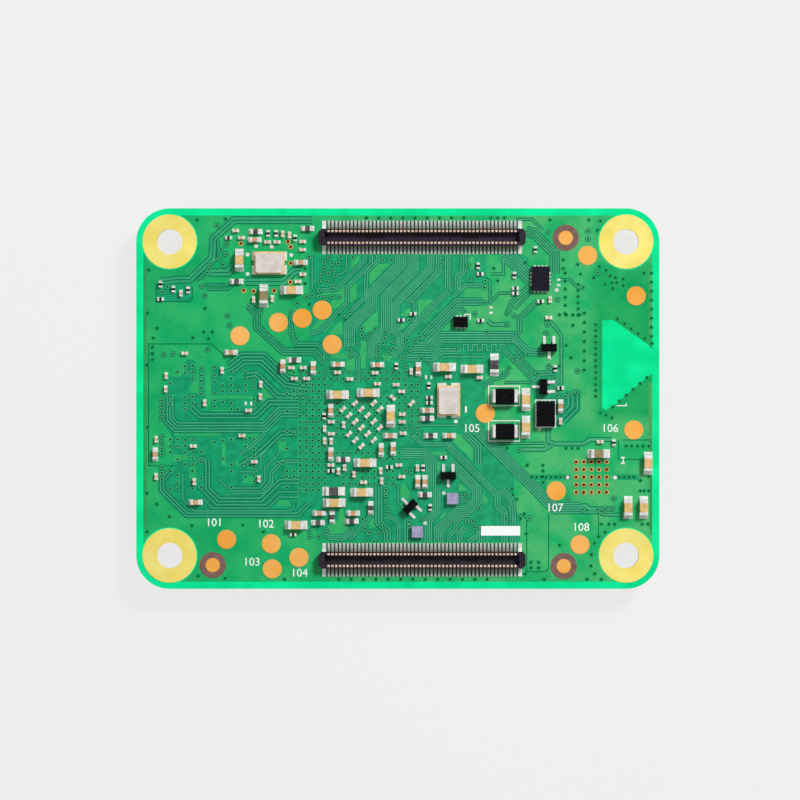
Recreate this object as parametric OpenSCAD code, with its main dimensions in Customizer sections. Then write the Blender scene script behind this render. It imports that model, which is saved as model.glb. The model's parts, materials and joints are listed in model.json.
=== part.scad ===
// System on module: a circuit board with two board-to-board connectors and small parts on its
// upper face, and the processor, memory, radio and power parts on its lower face.
// The module lies on the processor's lid, with the connectors up.

/* [Board] */
// Length of the board along X
board_l = 55; // [54.5:0.5:60]
// Width of the board along Y
board_w = 40; // [39.5:0.5:44]
// Thickness of the board
board_t = 1.2; // [0.8:0.1:1.6]
// Radius of the board's corners
corner_r = 3.5; // [2.5:0.1:4]
// Distance of each mounting hole from the two nearest edges
hole_inset = 3.5; // [3.3:0.1:3.7]
// Clear diameter of the plated mounting holes
hole_d = 2.7; // [2.2:0.1:3]
// Diameter of the plated ring round each mounting hole
ring_d = 5.7; // [5:0.1:6]
// Thickness of the plating on a mounting hole's wall
plating_t = 0.05; // [0.03:0.01:0.1]
// Thickness of copper pads with their finish
pad_t = 0.05; // [0.03:0.01:0.1]
// Diameter of the round test pads
test_pad_d = 2; // [1.5:0.1:2.1]
// Diameter of the fiducial dots
fiducial_d = 1.5; // [1:0.1:2]
// Outer diameter of a via's ring
via_ring_d = 0.5; // [0.45:0.05:0.6]
// Diameter of a via's hole
via_hole_d = 0.3; // [0.2:0.05:0.4]
// Pitch of the thermal vias
thermal_pitch = 0.8; // [0.7:0.05:1]
// Number of thermal vias along each side of their square
thermal_count = 5; // [3:1:5]
// Diameter of the small round pads
round_pad_d = 0.4; // [0.3:0.05:0.5]

/* [Connectors] */
// Contacts in each row of a connector
contacts_per_row = 50; // [40:2:50]
// Distance between neighbouring contacts
contact_pitch = 0.4; // [0.35:0.01:0.41]
// Width of a contact strip
contact_w = 0.23; // [0.15:0.01:0.26]
// Thickness of a contact strip
contact_t = 0.08; // [0.05:0.01:0.1]
// How far a contact stands out of the wall that carries it
contact_proud = 0.02; // [0.01:0.01:0.04]
// Thickness of the wall's skin outside each contact
contact_cover = 0.12; // [0.08:0.01:0.14]
// Bevel along both edges of a contact's crown
contact_bevel = 0.05; // [0.02:0.01:0.06]
// Reach of the solder tails from the connector's centre line
tail_reach = 1.75; // [1.5:0.05:1.85]
// Width of a connector over its two walls
connector_w = 1.75; // [1.6:0.05:1.9]
// Height of a connector above the board
connector_h = 1.05; // [0.9:0.05:1.5]
// Thickness of each long wall
connector_wall_t = 0.36; // [0.3:0.02:0.42]
// Thickness of the trough's floor
connector_floor_t = 0.3; // [0.2:0.05:0.4]
// Length of the trough past the last contact
trough_end = 0.4; // [0.3:0.05:0.5]
// Length of the solid block at each end
end_block_l = 0.65; // [0.5:0.05:0.75]
// Chamfer on the corners of the end blocks
end_chamfer = 0.3; // [0.15:0.05:0.35]
// Length of each keying slot in the trough's floor
key_slot_l = 1.5; // [1:0.1:2]
// Width of each keying slot
key_slot_w = 0.3; // [0.2:0.05:0.4]
// Depth of each keying slot
key_slot_depth = 0.12; // [0.05:0.01:0.15]
// Distance of each keying slot from the connector's middle
key_slot_x = 5.1; // [4:0.1:6]
// Width of a hold-down
hold_down_w = 0.38; // [0.3:0.02:0.42]
// Height that a hold-down climbs up the wall
hold_down_h = 0.55; // [0.4:0.05:0.7]
// Distance from the last contact to the hold-down
hold_down_gap = 0.5; // [0.45:0.01:0.52]
// Distance of each connector's centre line from the board's edge
connector_inset = 3.05; // [3:0.05:3.3]
// Place of the connectors' middle along X
connector_x = 2.55; // [2.4:0.05:2.7]

/* [Chip capacitors and resistors] */
// Length of a large chip
large_l = 1.6; // [1.5:0.05:1.7]
// Width of a large chip
large_w = 0.85; // [0.75:0.05:0.9]
// Height of a large capacitor
large_h = 0.8; // [0.5:0.05:0.9]
// Length over the solder of a large chip
large_reach = 2.4; // [2.1:0.05:2.5]
// Length of each end cap of a large chip
large_cap = 0.32; // [0.25:0.01:0.4]
// Length of a medium chip
medium_l = 1; // [0.9:0.05:1.1]
// Width of a medium chip
medium_w = 0.5; // [0.45:0.01:0.55]
// Height of a medium capacitor
medium_h = 0.5; // [0.35:0.05:0.6]
// Length over the solder of a medium chip
medium_reach = 1.45; // [1.3:0.05:1.5]
// Length of each end cap of a medium chip
medium_cap = 0.25; // [0.18:0.01:0.3]
// Length of a small chip
small_l = 0.6; // [0.55:0.01:0.65]
// Width of a small chip
small_w = 0.32; // [0.27:0.01:0.34]
// Height of a small capacitor
small_h = 0.3; // [0.25:0.01:0.35]
// Length over the solder of a small chip
small_reach = 0.75; // [0.7:0.01:0.78]
// Length of each end cap of a small chip
small_cap = 0.18; // [0.12:0.01:0.22]
// Height of a large resistor
large_resistor_h = 0.45; // [0.35:0.05:0.6]
// Height of a medium resistor
medium_resistor_h = 0.35; // [0.25:0.05:0.5]
// Height of a small resistor
small_resistor_h = 0.25; // [0.2:0.01:0.3]
// How far a chip's pads stand out past its sides
pad_margin = 0.03; // [0.01:0.01:0.04]
// Share of an end cap's height that the solder climbs
solder_climb = 0.7; // [0.4:0.05:0.9]

/* [Crystals and inductors] */
// Length of a crystal's ceramic base
crystal_l = 3.2; // [3:0.05:3.25]
// Width of a crystal's ceramic base
crystal_w = 2.4; // [2.3:0.05:2.55]
// Height of a crystal's ceramic base
crystal_base_h = 0.45; // [0.3:0.05:0.6]
// Height of a crystal's lid
crystal_lid_h = 0.25; // [0.15:0.05:0.4]
// Distance of a crystal's lid from the edges of its base
crystal_lid_inset = 0.17; // [0.1:0.01:0.3]
// Radius of the corners of a crystal's lid
crystal_lid_r = 0.25; // [0.1:0.05:0.4]
// Length of a crystal's corner pads
crystal_pad_l = 1.1; // [0.8:0.05:1.3]
// Width of a crystal's corner pads
crystal_pad_w = 0.95; // [0.7:0.05:1.05]
// Reach of a crystal's solder past its base
crystal_solder = 0.25; // [0.1:0.01:0.3]
// Length of an inductor with its terminals
inductor_l = 2.5; // [2.3:0.05:2.6]
// Width of an inductor's core
inductor_w = 1.65; // [1.5:0.05:1.75]
// Width of an inductor's terminals
inductor_terminal_w = 1.3; // [1:0.05:1.5]
// Height of an inductor
inductor_h = 1; // [0.7:0.05:1.2]
// Length of an inductor's terminals
inductor_cap = 0.25; // [0.2:0.01:0.35]
// Length over the solder of an inductor
inductor_reach = 2.85; // [2.65:0.05:3]

/* [Small chips] */
// Width of the power converter along X
converter_w = 1.9; // [1.7:0.05:2]
// Length of the power converter along Y
converter_l = 2.65; // [2.4:0.05:2.7]
// Height of the power converter
converter_h = 0.75; // [0.5:0.05:0.9]
// Width of the interface chip along X
interface_w = 1.85; // [1.7:0.05:1.9]
// Length of the interface chip along Y
interface_l = 2.55; // [2.4:0.05:2.6]
// Height of the interface chip
interface_h = 0.5; // [0.4:0.05:0.8]
// Pitch of the fine leadless pads
fine_pitch = 0.4; // [0.38:0.01:0.45]
// Width of the fine leadless pads
fine_pad_w = 0.2; // [0.15:0.01:0.24]
// How far leadless pads show past a chip's sides
pad_show = 0.15; // [0.05:0.01:0.2]
// Length of leadless pads
pad_l = 0.4; // [0.3:0.02:0.5]
// Width of the logic chip along X
logic_w = 1.5; // [1.4:0.05:1.7]
// Length of the logic chip along Y
logic_l = 1.1; // [1:0.05:1.2]
// Height of the logic chip
logic_h = 0.5; // [0.4:0.05:0.7]
// Length of a transistor's body
transistor_l = 1.6; // [1.4:0.05:1.7]
// Width of a transistor's body
transistor_w = 0.8; // [0.7:0.05:0.9]
// Height of a transistor's body
transistor_h = 0.7; // [0.5:0.05:0.8]
// Width of a transistor's leads
lead_w = 0.3; // [0.2:0.02:0.34]
// Thickness of a transistor's leads
lead_t = 0.12; // [0.08:0.01:0.15]
// Height of a lead's shoulder above the board
lead_shoulder = 0.3; // [0.25:0.01:0.35]
// Length of a lead's shoulder
lead_shoulder_l = 0.2; // [0.15:0.01:0.25]
// Reach of a transistor's leads from its middle
lead_reach = 1.22; // [1:0.02:1.24]
// Distance between a transistor's two paired leads
lead_pitch = 1; // [0.8:0.02:1.1]
// Side of a chip-scale die
die_side = 1.18; // [1:0.02:1.25]
// Height of a chip-scale die
die_h = 0.4; // [0.3:0.05:0.6]
// Height of the solder balls under a chip-scale die
die_ball_h = 0.18; // [0.1:0.02:0.25]

/* [Processor] */
// Side of the processor's substrate
soc_side = 15; // [14.5:0.1:15.5]
// Thickness of the processor's substrate
soc_base_t = 0.56; // [0.4:0.02:0.8]
// Side of the processor's lid
soc_lid_side = 13.8; // [13:0.1:14]
// Radius of the corners of the processor's lid
soc_lid_r = 0.8; // [0.7:0.1:1.2]
// Width of the lid's foot round its raised middle
soc_lid_foot = 0.9; // [0.7:0.1:1.2]
// Thickness of the lid's foot
soc_foot_t = 0.45; // [0.3:0.05:0.6]
// Thickness of the lid's raised middle
soc_lid_t = 0.6; // [0.4:0.05:0.8]
// Thickness of the lid's side walls
soc_wall_t = 0.5; // [0.3:0.05:0.7]
// Side of the processor's die
soc_die_side = 8; // [6:0.1:9]
// Thickness of the processor's die
soc_die_t = 0.87; // [0.6:0.01:1]
// Pitch of the processor's solder balls
soc_pitch = 0.65; // [0.6:0.01:0.66]
// Solder balls along each side of the processor
soc_balls = 22; // [16:2:22]
// Diameter of the processor's solder balls
soc_ball_d = 0.4; // [0.3:0.02:0.45]
// Height of the processor's solder balls
soc_ball_h = 0.35; // [0.25:0.01:0.4]

/* [Memory, flash and radio] */
// Width of the memory package along X
memory_w = 10; // [9.5:0.1:10.3]
// Length of the memory package along Y
memory_l = 14.5; // [14:0.1:15]
// Height of the memory package above its balls
memory_h = 0.75; // [0.5:0.05:1]
// Pitch of the memory's solder balls along X
memory_pitch_x = 0.8; // [0.7:0.01:0.82]
// Pitch of the memory's solder balls along Y
memory_pitch_y = 0.65; // [0.5:0.01:0.66]
// Width of the flash package along X
flash_w = 11.5; // [11:0.1:11.8]
// Length of the flash package along Y
flash_l = 13; // [12:0.1:13.2]
// Height of the flash package above its balls
flash_h = 0.75; // [0.5:0.05:1]
// Pitch of the flash's and radio's solder balls
flash_pitch = 0.5; // [0.4:0.01:0.55]
// Diameter of the memory's and flash's solder balls
store_ball_d = 0.3; // [0.2:0.02:0.34]
// Height of the memory's, flash's and radio's solder balls
store_ball_h = 0.25; // [0.15:0.01:0.3]
// Width of the shield can along X
can_w = 10.5; // [10:0.1:10.8]
// Length of the shield can along Y
can_l = 11.5; // [11:0.1:12]
// Height of the shield can
can_h = 1.5; // [1.3:0.05:1.8]
// Thickness of the shield can's sheet
can_t = 0.2; // [0.15:0.01:0.3]
// Radius of the shield can's corners
can_r = 0.8; // [0.5:0.1:1.2]
// Side of the radio chip in the shield can
radio_side = 5; // [4:0.1:6]
// Height of the radio chip above its balls
radio_h = 0.55; // [0.4:0.05:0.8]

/* [Network, power and antenna] */
// Side of the network chip
network_side = 7; // [6.5:0.1:7.2]
// Pads along each side of the network chip
network_pads = 12; // [8:1:12]
// Side of the power manager chip
manager_side = 6; // [5.5:0.1:6.2]
// Pads along each side of the power manager
manager_pads = 10; // [8:1:10]
// Height of the network and power manager chips
leadless_h = 0.85; // [0.6:0.05:1]
// Pitch of the coarse leadless pads
coarse_pitch = 0.5; // [0.45:0.01:0.52]
// Width of the coarse leadless pads
coarse_pad_w = 0.25; // [0.18:0.01:0.3]
// Share of a leadless chip's side that its ground pad takes
ground_share = 0.65; // [0.5:0.05:0.75]
// Diameter of the pin mark on a package
pin_mark_d = 0.6; // [0.4:0.05:0.8]
// Depth of the pin mark
pin_mark_depth = 0.06; // [0.02:0.01:0.1]
// Distance of a pin mark from a package's two sides
pin_mark_inset = 1; // [0.8:0.05:1.2]
// Side of the antenna receptacle's base
coax_base = 2.6; // [2.4:0.05:2.8]
// Thickness of the antenna receptacle's base
coax_base_t = 0.35; // [0.25:0.05:0.45]
// Outer diameter of the antenna receptacle's shell
coax_shell_d = 2; // [1.8:0.05:2.2]
// Wall of the antenna receptacle's shell
coax_shell_t = 0.15; // [0.1:0.01:0.2]
// Height of the antenna receptacle
coax_h = 1.25; // [1:0.05:1.4]
// Diameter of the antenna receptacle's centre pin
coax_pin_d = 0.4; // [0.3:0.02:0.5]

/* [Hidden] */
$fn = 48;
cut = 0.1;
soc_h = soc_ball_h + soc_base_t + soc_die_t + soc_lid_t;
store_h = store_ball_h + max(memory_h, flash_h);
under_h = max(soc_h, store_h, can_h, coax_h, leadless_h + pad_t, inductor_h + pad_t);
board_low = under_h;
board_top = board_low + board_t;
hole_x = board_l / 2 - hole_inset;
hole_y = board_w / 2 - hole_inset;
barrel_d = hole_d + 2 * plating_t;
connector_y = board_w / 2 - connector_inset;
contact_span = (contacts_per_row - 1) * contact_pitch;
trough_l = contact_span + 2 * trough_end;
connector_l = trough_l + 2 * end_block_l;
wall_out = connector_w / 2;
wall_in = wall_out - connector_wall_t;
hold_down_x = contact_span / 2 + hold_down_gap;
connector_left = connector_x - connector_l / 2;
connector_right = connector_x + connector_l / 2;
solder_sag = 0.35;
die_balls = 3;
memory_columns = 12;
memory_rows = 22;
memory_block = [5, 10];
flash_balls_per_side = 14;
flash_rings = 3;
radio_balls_per_side = 8;
radio_rings = 2;
soc_outer_rings = 2;
soc_core_ring = 7;
converter_pads_x = 3;
converter_pads_y = 5;
interface_pads_per_side = 4;
logic_pads_per_side = 3;

// Places on the upper face were read as [x, y] or [x, y, turn] from the middle of a board of read_l,
// with read_field clear between the connectors' solder tails. They spread with the board.
read_l = 55;
read_field = 30.4;
stretch_x = board_l / read_l;
stretch_y = 2 * (connector_y - tail_reach) / read_field;
function spread(place) = [place[0] * stretch_x, place[1] * stretch_y, len(place) > 2 ? place[2] : 0];
function spread_all(places) = [for (place = places) spread(place)];
// Moves places that are read from another piece to that piece
function beside(anchor, places) = [
    for (place = places)
        [anchor[0] + place[0], anchor[1] + place[1], len(place) > 2 ? place[2] : 0]
];
thermal_centre = spread([20.35, -8.25]);
left_end_of_a = [connector_left, connector_y];
right_end_of_a = [connector_right, connector_y];
left_end_of_b = [connector_left, -connector_y];
upper_right_hole = [hole_x, hole_y];

test_pad_places = concat(
    spread_all([
        [-16.6, 6.6], [-12.55, 8], [-10.05, 8.45], [-7.95, 9.3], [-6.9, 5.7], [25.05, 10.8],
        [9.2, -1.55], [24.8, -3.3], [16.65, -9.7], [19.15, -15.35], [-18, -14.8],
    ]),
    beside(upper_right_hole, [[-4.05, -1.45]]),
    beside(left_end_of_b, [[-5, 1.7], [-4.9, -0.95], [-2.1, 0.25]])
);
fiducial_places = spread_all([[17.65, 16.9], [-19.45, -17.5], [17.45, -17.6]]);
open_via_places = spread_all([
    [-16.5, 16.3], [-16.2, 11.35], [-15.15, 11.3], [-11.55, 16.5],
    [-11.25, 15.95], [-11.25, 14.25], [-11.3, 12.25], [-13, 11.35],
]);
round_pad_places = concat(
    spread_all([
        [-14.9, 16.05], [-15.8, 15.15], [-15.8, 13.1], [-13.25, 15.95], [-11.2, 15.1], [16.7, 11.4],
    ]),
    beside(thermal_centre, [[-2.5, -0.05], [2.5, -0.05]])
);
bare_pair_places = spread_all([
    [9.8, 9.3, 90], [3.25, 2.25, 0], [-15.7, -0.5, 0], [16.9, 12.2, 90], [23.65, -6.5, 90],
]);
large_capacitor_places = concat(
    spread_all([
        [-16.65, 14.55, 90], [-14.1, 10.8, 90], [-11.15, 11.4, 0], [-6.35, 0.4, 0], [-3.1, 0.6, 0],
        [-0.75, -1.85, 90], [-3.45, -6.75, 0], [-3.8, -9.85, 0], [-6.7, -10.95, 0], [-10.7, -13.3, 0],
        [4.9, 3.3, 0], [7.8, 3.1, 0], [13.45, -0.1, 90], [13.45, -3, 90],
        [26.3, -6.8, 90], [24.2, -11.45, 90], [25.85, -11.45, 90],
    ]),
    beside(thermal_centre, [[0.75, 2.45]])
);
large_resistor_places = spread_all([[10.15, 3.55, 90], [-6.75, -9.75, 0]]);
medium_capacitor_places = spread_all([
    [-15.05, 16.7, 0], [-10.2, 14.3, 0], [-17.55, 4.85, 0], [-12.1, 3.4, 90], [-8.9, 3.2, 90],
    [-6.3, 3.6, 0], [-2.15, 3.55, 0], [-7.05, -1.25, 90], [-7.05, -5.85, 90], [-0.8, -3.9, 0],
    [-1.75, -5.4, 90], [-0.5, -5.3, 90], [2.15, 3.1, 90], [3.1, -1.25, 0], [5.4, -3.9, 0],
    [17.1, -0.8, 90], [-25.5, -5.85, 90], [-21.25, -10.9, 0], [-8.25, -12.05, 0],
    [-4.7, -12.05, 0], [2.1, -8.75, 90], [2.85, -8.75, 90],
]);
medium_resistor_places = concat(
    spread_all([
        [-14.95, 17.55, 0], [-16.95, 12.3, 0], [-10.9, 4.05, 0], [-5.75, -6.4, 0], [3.1, -2.1, 0],
        [3.45, -3.9, 0], [-8.4, -13.05, 0], [-6.9, -12.45, 90], [-4.85, -12.9, 0],
        [-2.85, -11.5, 90], [2.85, -10.1, 0],
    ]),
    beside(left_end_of_a, [[-1.2, 0.92]])
);
// Slanted capacitors under the processor lie on the grid of its balls, in rows of [row, columns]
slanted_origin = [-4.48, -0.48];
slanted_rows = [
    [0, [0, 3]], [1, [-2, 1, 4]], [2, [-1, 2]], [3, [0, 3]],
    [4, [1, 4]], [5, [-1, 2]], [6, [0, 3]], [7, [1]],
];
slanted_places = [
    for (row = slanted_rows)
        for (column = row[1])
            [slanted_origin[0] + column * soc_pitch, slanted_origin[1] - row[0] * soc_pitch, 45]
];
upright_places = [
    [-17.05, 17.65, 0], [-16.45, 16.9, 0], [-15.15, 10.4, 90], [-22.8, 11.05, 90], [-12.1, 17.3, 90],
    [-11.4, 17.18, 90], [-10, 16.5, 0], [-10, 15.65, 0], [-10, 13.05, 0], [-10.5, 12.3, 0],
    [-13.2, 10.5, 90], [-13.7, 16.45, 0], [-12.7, 16.45, 0], [16, 10.4, 90], [15.85, 8.5, 0],
    [-22.4, 4.75, 0], [-24.35, 2.4, 90], [-24.4, 1, 90], [-18.45, 2.95, 90], [-14.4, 1.5, 90],
    [-14.45, 0.2, 90], [-11.2, 3.25, 0], [-9.95, 3.25, 0], [-10.9, 2.1, 0], [-9.6, 2.1, 0],
    [-6.35, 2.75, 0], [-5.05, 2.05, 0], [-2.4, 2.7, 0], [-2.15, 1.55, 0], [-0.2, 1.45, 0],
    [1.4, 2.85, 90], [5.3, 2.3, 0], [8.6, 2.2, 0], [0.4, 0.75, 0], [0.45, -1.65, 0],
    [0.45, -2.45, 0], [0.55, -3.65, 0], [-0.55, 0.1, -45], [1.45, -0.5, 45], [-7, -2.45, 0],
    [-7.7, -3.15, 90], [-7, -3.7, 0], [-7.7, -4.45, 90], [-7, -4.5, 90], [-7.05, -7, 0],
    [-6.25, -7.65, 90], [-5.6, -7.25, 90], [-4.6, -7.95, 90], [-3.6, -8.8, 0], [-1.8, -7.6, 90],
    [-1.7, -8.65, 90], [0.1, -7, 0], [0.4, -8.2, 0], [2.05, -7.3, 90], [17.1, -2.4, 90],
    [-20.3, -0.45, 90], [-15.7, -1.25, 0], [-25.4, -4.3, 90], [-16.4, -3.9, 0],
    [-21.5, -5, 0], [-15.1, -6.65, 0], [-25.4, -8.2, 90], [-14.6, -8.45, 90], [-21.4, -8.75, 90],
    [-5.7, -2.75, 90],
];
small_capacitor_places = concat(
    spread_all(upright_places),
    spread_all(slanted_places),
    beside(thermal_centre, [[0.9, 3.7]])
);
small_resistor_places = concat(
    spread_all([
        [-17.8, 16.9, 0], [-24.95, 12, 90], [-23.6, 11.5, 90], [-22.05, 11.4, 90], [-24.95, 10.45, 0],
        [-13.65, 17.35, 90], [-12.8, 17.35, 90], [-10.8, 16.85, 90], [8.45, 13.95, 90], [8.65, 13.1, 0],
        [12.25, 12.95, 90], [12.35, 11.6, 0], [12.35, 11.05, 0], [15, 10.2, 0], [1.6, 8.9, 0],
        [0.35, 8.25, 0], [8.7, 8.2, 0], [-0.15, 3.4, 90], [3.25, 1.35, 90], [3.3, 0.1, 0],
        [3.3, -0.45, 0], [16.55, 3.15, 90], [17.1, 1.1, 0], [-7.75, -1.85, 90], [-7.05, -7.6, 0],
        [-0.9, -7.2, 0], [4.8, -6.2, 0], [2.65, -7.3, 90], [3.4, -11.45, 90], [-11, -14.3, 0],
    ]),
    beside(right_end_of_a, [[1.05, -1.3, 90]]),
    beside(thermal_centre, [[2.35, 3.6, 90]])
);
crystal_places = spread_all([[-13.5, 14.25, 0], [5.35, -0.2, 90]]);
inductor_places = spread_all([[11.25, 0.25, 0], [11.25, -3.45, 0]]);
converter_place = spread([15.55, -1.6]);
interface_place = spread([15, 12.6]);
logic_place = spread([6.6, 8.05]);
transistor_places = spread_all([[15.9, 5.35, 0], [5.3, -8.1, 0], [1.3, -11.35, -135], [15.3, 1.25, -90]]);
die_places = spread_all([[5.75, -10.5], [2.05, -14]]);

// Places on the lower face: packages stand off the processor by named gaps, the radio and antenna
// belong to the upper right hole, the lamps to the upper left one, the power parts to their chip
package_gap = 1.4;
memory_gap = 2.6;
bypass_gap = 1.3;
soc_place = [-4.4, -3.9];
soc_half = soc_side / 2;
memory_place = soc_place + [-soc_half - memory_gap - memory_w / 2, 0.9];
flash_place = [1, soc_place[1] + soc_half + package_gap + flash_l / 2];
network_place = flash_place + [-10.2, 1];
radio_place = upper_right_hole + [-9, -8.5];
coax_place = upper_right_hole + [-0.4, -5.3];
lamp_places = beside([-hole_x, hole_y], [[-1.2, -6.9, 90], [-1.2, -9.3, 90]]);
manager_place = thermal_centre;
power_inductor_places = beside(manager_place, [[-6.45, 3.05], [-6.45, 0.05], [-6.45, -2.95]]);
power_capacitor_places = beside(manager_place, [[-9.75, 3.05], [-9.75, 0.05], [-9.75, -2.95]]);
row_pitch = 1.1;
row_count = 10;
bypass_places = [
    for (side = [-1, 1])
        for (i = [0 : row_count - 1])
            [
                soc_place[0] + side * (soc_half + bypass_gap),
                soc_place[1] + (i - (row_count - 1) / 2) * row_pitch,
                0,
            ]
];

board_green = [0.1, 0.55, 0.33];
gold = [0.95, 0.72, 0.3];
pale_gold = [0.93, 0.83, 0.5];
contact_gold = [0.88, 0.74, 0.6];
tin = [0.82, 0.82, 0.83];
housing_black = [0.16, 0.14, 0.19];
chip_black = [0.07, 0.06, 0.07];
capacitor_tan = [0.86, 0.7, 0.42];
capacitor_brown = [0.78, 0.53, 0.34];
lid_silver = [0.78, 0.78, 0.8];
die_lavender = [0.58, 0.53, 0.74];
lamp_white = [0.92, 0.9, 0.8];

// Sets its children down on the upper face at [x, y] or [x, y, turn]
module on_top(place)
    translate([place[0], place[1], board_top])
        rotate([0, 0, len(place) > 2 ? place[2] : 0])
            children();

// Hangs its children, drawn upwards, from the lower face at [x, y] or [x, y, turn]
module on_bottom(place)
    translate([place[0], place[1], board_low])
        mirror([0, 0, 1])
            rotate([0, 0, len(place) > 2 ? place[2] : 0])
                children();

module rounded_rect(l, w, r) {
    square([l, w - 2 * r], center = true);
    square([l - 2 * r, w], center = true);
    for (x = [-1, 1])
        for (y = [-1, 1])
            translate([x * (l / 2 - r), y * (w / 2 - r)])
                circle(r);
}

// A block that stands on z and is centred in plan
module block(l, w, h, z = 0)
    translate([-l / 2, -w / 2, z])
        cube([l, w, h]);

// Draws a side view, given in [x, z], through a width along Y
module side_view(width, points)
    rotate([90, 0, 0])
        linear_extrude(height = width, center = true)
            polygon(points);

module at_holes()
    for (x = [-hole_x, hole_x])
        for (y = [-hole_y, hole_y])
            translate([x, y, 0])
                children();

module circuit_board()
    color(board_green)
        difference() {
            translate([0, 0, board_low])
                linear_extrude(board_t)
                    rounded_rect(board_l, board_w, corner_r);
            at_holes()
                translate([0, 0, board_low - cut])
                    cylinder(d = barrel_d, h = board_t + 2 * cut);
        }

// A plated barrel with a flat ring on each face of the board
module plated_hole()
    difference() {
        union() {
            translate([0, 0, board_low - pad_t])
                cylinder(d = ring_d, h = pad_t);
            translate([0, 0, board_low - pad_t])
                cylinder(d = barrel_d, h = board_t + 2 * pad_t);
            translate([0, 0, board_top])
                cylinder(d = ring_d, h = pad_t);
        }
        translate([0, 0, board_low - pad_t - cut])
            cylinder(d = hole_d, h = board_t + 2 * pad_t + 2 * cut);
    }

module mounting_hole_plating()
    color(pale_gold)
        at_holes()
            plated_hole();

module discs(places, d)
    for (place = places)
        on_top(place)
            cylinder(d = d, h = pad_t);

module test_pads()
    color(gold)
        discs(test_pad_places, test_pad_d);

module fiducial_dots()
    color(gold)
        discs(fiducial_places, fiducial_d);

thermal_offsets = [for (i = [0 : thermal_count - 1]) (i - (thermal_count - 1) / 2) * thermal_pitch];
thermal_places = beside(thermal_centre, [for (x = thermal_offsets) for (y = thermal_offsets) [x, y]]);

module via_rings()
    color(pale_gold)
        for (place = concat(open_via_places, thermal_places))
            on_top(place)
                difference() {
                    cylinder(d = via_ring_d, h = pad_t);
                    translate([0, 0, -cut])
                        cylinder(d = via_hole_d, h = pad_t + 2 * cut);
                }

module bare_pads()
    color(tin) {
        discs(round_pad_places, round_pad_d);
        for (place = bare_pair_places)
            on_top(place)
                for (side = [-1, 1])
                    translate([side * (small_reach - small_cap) / 2, 0, 0])
                        block(small_cap + pad_margin, small_w + 2 * pad_margin, pad_t);
    }

// Side view of a contact: a strip that rises inside the wall, wraps over its inner part and
// ends in a flat solder tail
function contact_view() =
    let (skin_out = wall_out - contact_cover)
    let (skin_in = wall_in - contact_proud)
    let (crown = connector_h + contact_proud)
    [
        [tail_reach, 0],
        [tail_reach, contact_t],
        [skin_out, contact_t],
        [skin_out, crown - contact_bevel],
        [skin_out - contact_bevel, crown],
        [skin_in + contact_bevel, crown],
        [skin_in, crown - contact_bevel],
        [skin_in, connector_floor_t],
        [skin_in + contact_t, connector_floor_t],
        [skin_in + contact_t, crown - contact_t],
        [skin_out - contact_t, crown - contact_t],
        [skin_out - contact_t, 0],
    ];

// Side view of a hold-down: a foot on the board and a short leg up the wall
function hold_down_view() =
    let (skin_out = wall_out + contact_proud)
    [
        [tail_reach, 0],
        [tail_reach, contact_t],
        [skin_out, contact_t],
        [skin_out, hold_down_h],
        [skin_out - contact_t, hold_down_h],
        [skin_out - contact_t, 0],
    ];

// Both rows of a connector's contacts
module contact_rows()
    for (turn = [90, -90])
        for (i = [0 : contacts_per_row - 1])
            translate([i * contact_pitch - contact_span / 2, 0, 0])
                rotate([0, 0, turn])
                    side_view(contact_w, contact_view());

module corner_hold_downs()
    for (turn = [90, -90])
        for (x = [-hold_down_x, hold_down_x])
            translate([x, 0, 0])
                rotate([0, 0, turn])
                    side_view(hold_down_w, hold_down_view());

// Plan of a housing: a bar with chamfered corners
function housing_plan() =
    let (x = connector_l / 2)
    let (y = connector_w / 2)
    let (c = end_chamfer)
    [
        [x, y - c], [x - c, y], [c - x, y], [-x, y - c],
        [-x, c - y], [c - x, -y], [x - c, -y], [x, c - y],
    ];

// A moulded trough whose walls are slotted for every contact and hold-down
module connector_housing()
    difference() {
        linear_extrude(connector_h)
            polygon(housing_plan());
        block(trough_l, 2 * wall_in, connector_h, connector_floor_t);
        for (x = [-key_slot_x, key_slot_x])
            translate([x, 0, 0])
                block(key_slot_l, key_slot_w, connector_h, connector_floor_t - key_slot_depth);
        contact_rows();
        corner_hold_downs();
    }

place_a = [connector_x, connector_y];
place_b = [connector_x, -connector_y];

module connector_a_housing()
    color(housing_black)
        on_top(place_a)
            connector_housing();

module connector_a_contacts()
    color(contact_gold)
        on_top(place_a)
            contact_rows();

module connector_a_hold_downs()
    color(tin)
        on_top(place_a)
            corner_hold_downs();

module connector_b_housing()
    color(housing_black)
        on_top(place_b)
            connector_housing();

module connector_b_contacts()
    color(contact_gold)
        on_top(place_b)
            contact_rows();

module connector_b_hold_downs()
    color(tin)
        on_top(place_b)
            corner_hold_downs();

// The part of a chip between its end caps
module chip_body(l, w, h, cap)
    block(l - 2 * cap, w, h, pad_t);

// Both end caps of a chip, each with its pad and the solder that climbs it
module chip_ends(l, w, h, cap, reach) {
    foot = (reach - l) / 2;
    climb = pad_t + h * solder_climb;
    for (turn = [0, 180])
        rotate([0, 0, turn]) {
            side_view(w, [
                [l / 2 - cap, 0],
                [l / 2 - cap, pad_t + h],
                [l / 2, pad_t + h],
                [l / 2, climb],
                [l / 2 + foot * solder_sag, pad_t + (climb - pad_t) * solder_sag],
                [reach / 2, pad_t],
                [reach / 2, 0],
            ]);
            translate([l / 2 - cap, -w / 2 - pad_margin, 0])
                cube([cap + foot, w + 2 * pad_margin, pad_t]);
        }
}

module large_body(h)
    chip_body(large_l, large_w, h, large_cap);

module large_ends(h)
    chip_ends(large_l, large_w, h, large_cap, large_reach);

module medium_body(h)
    chip_body(medium_l, medium_w, h, medium_cap);

module medium_ends(h)
    chip_ends(medium_l, medium_w, h, medium_cap, medium_reach);

module small_body(h)
    chip_body(small_l, small_w, h, small_cap);

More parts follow.
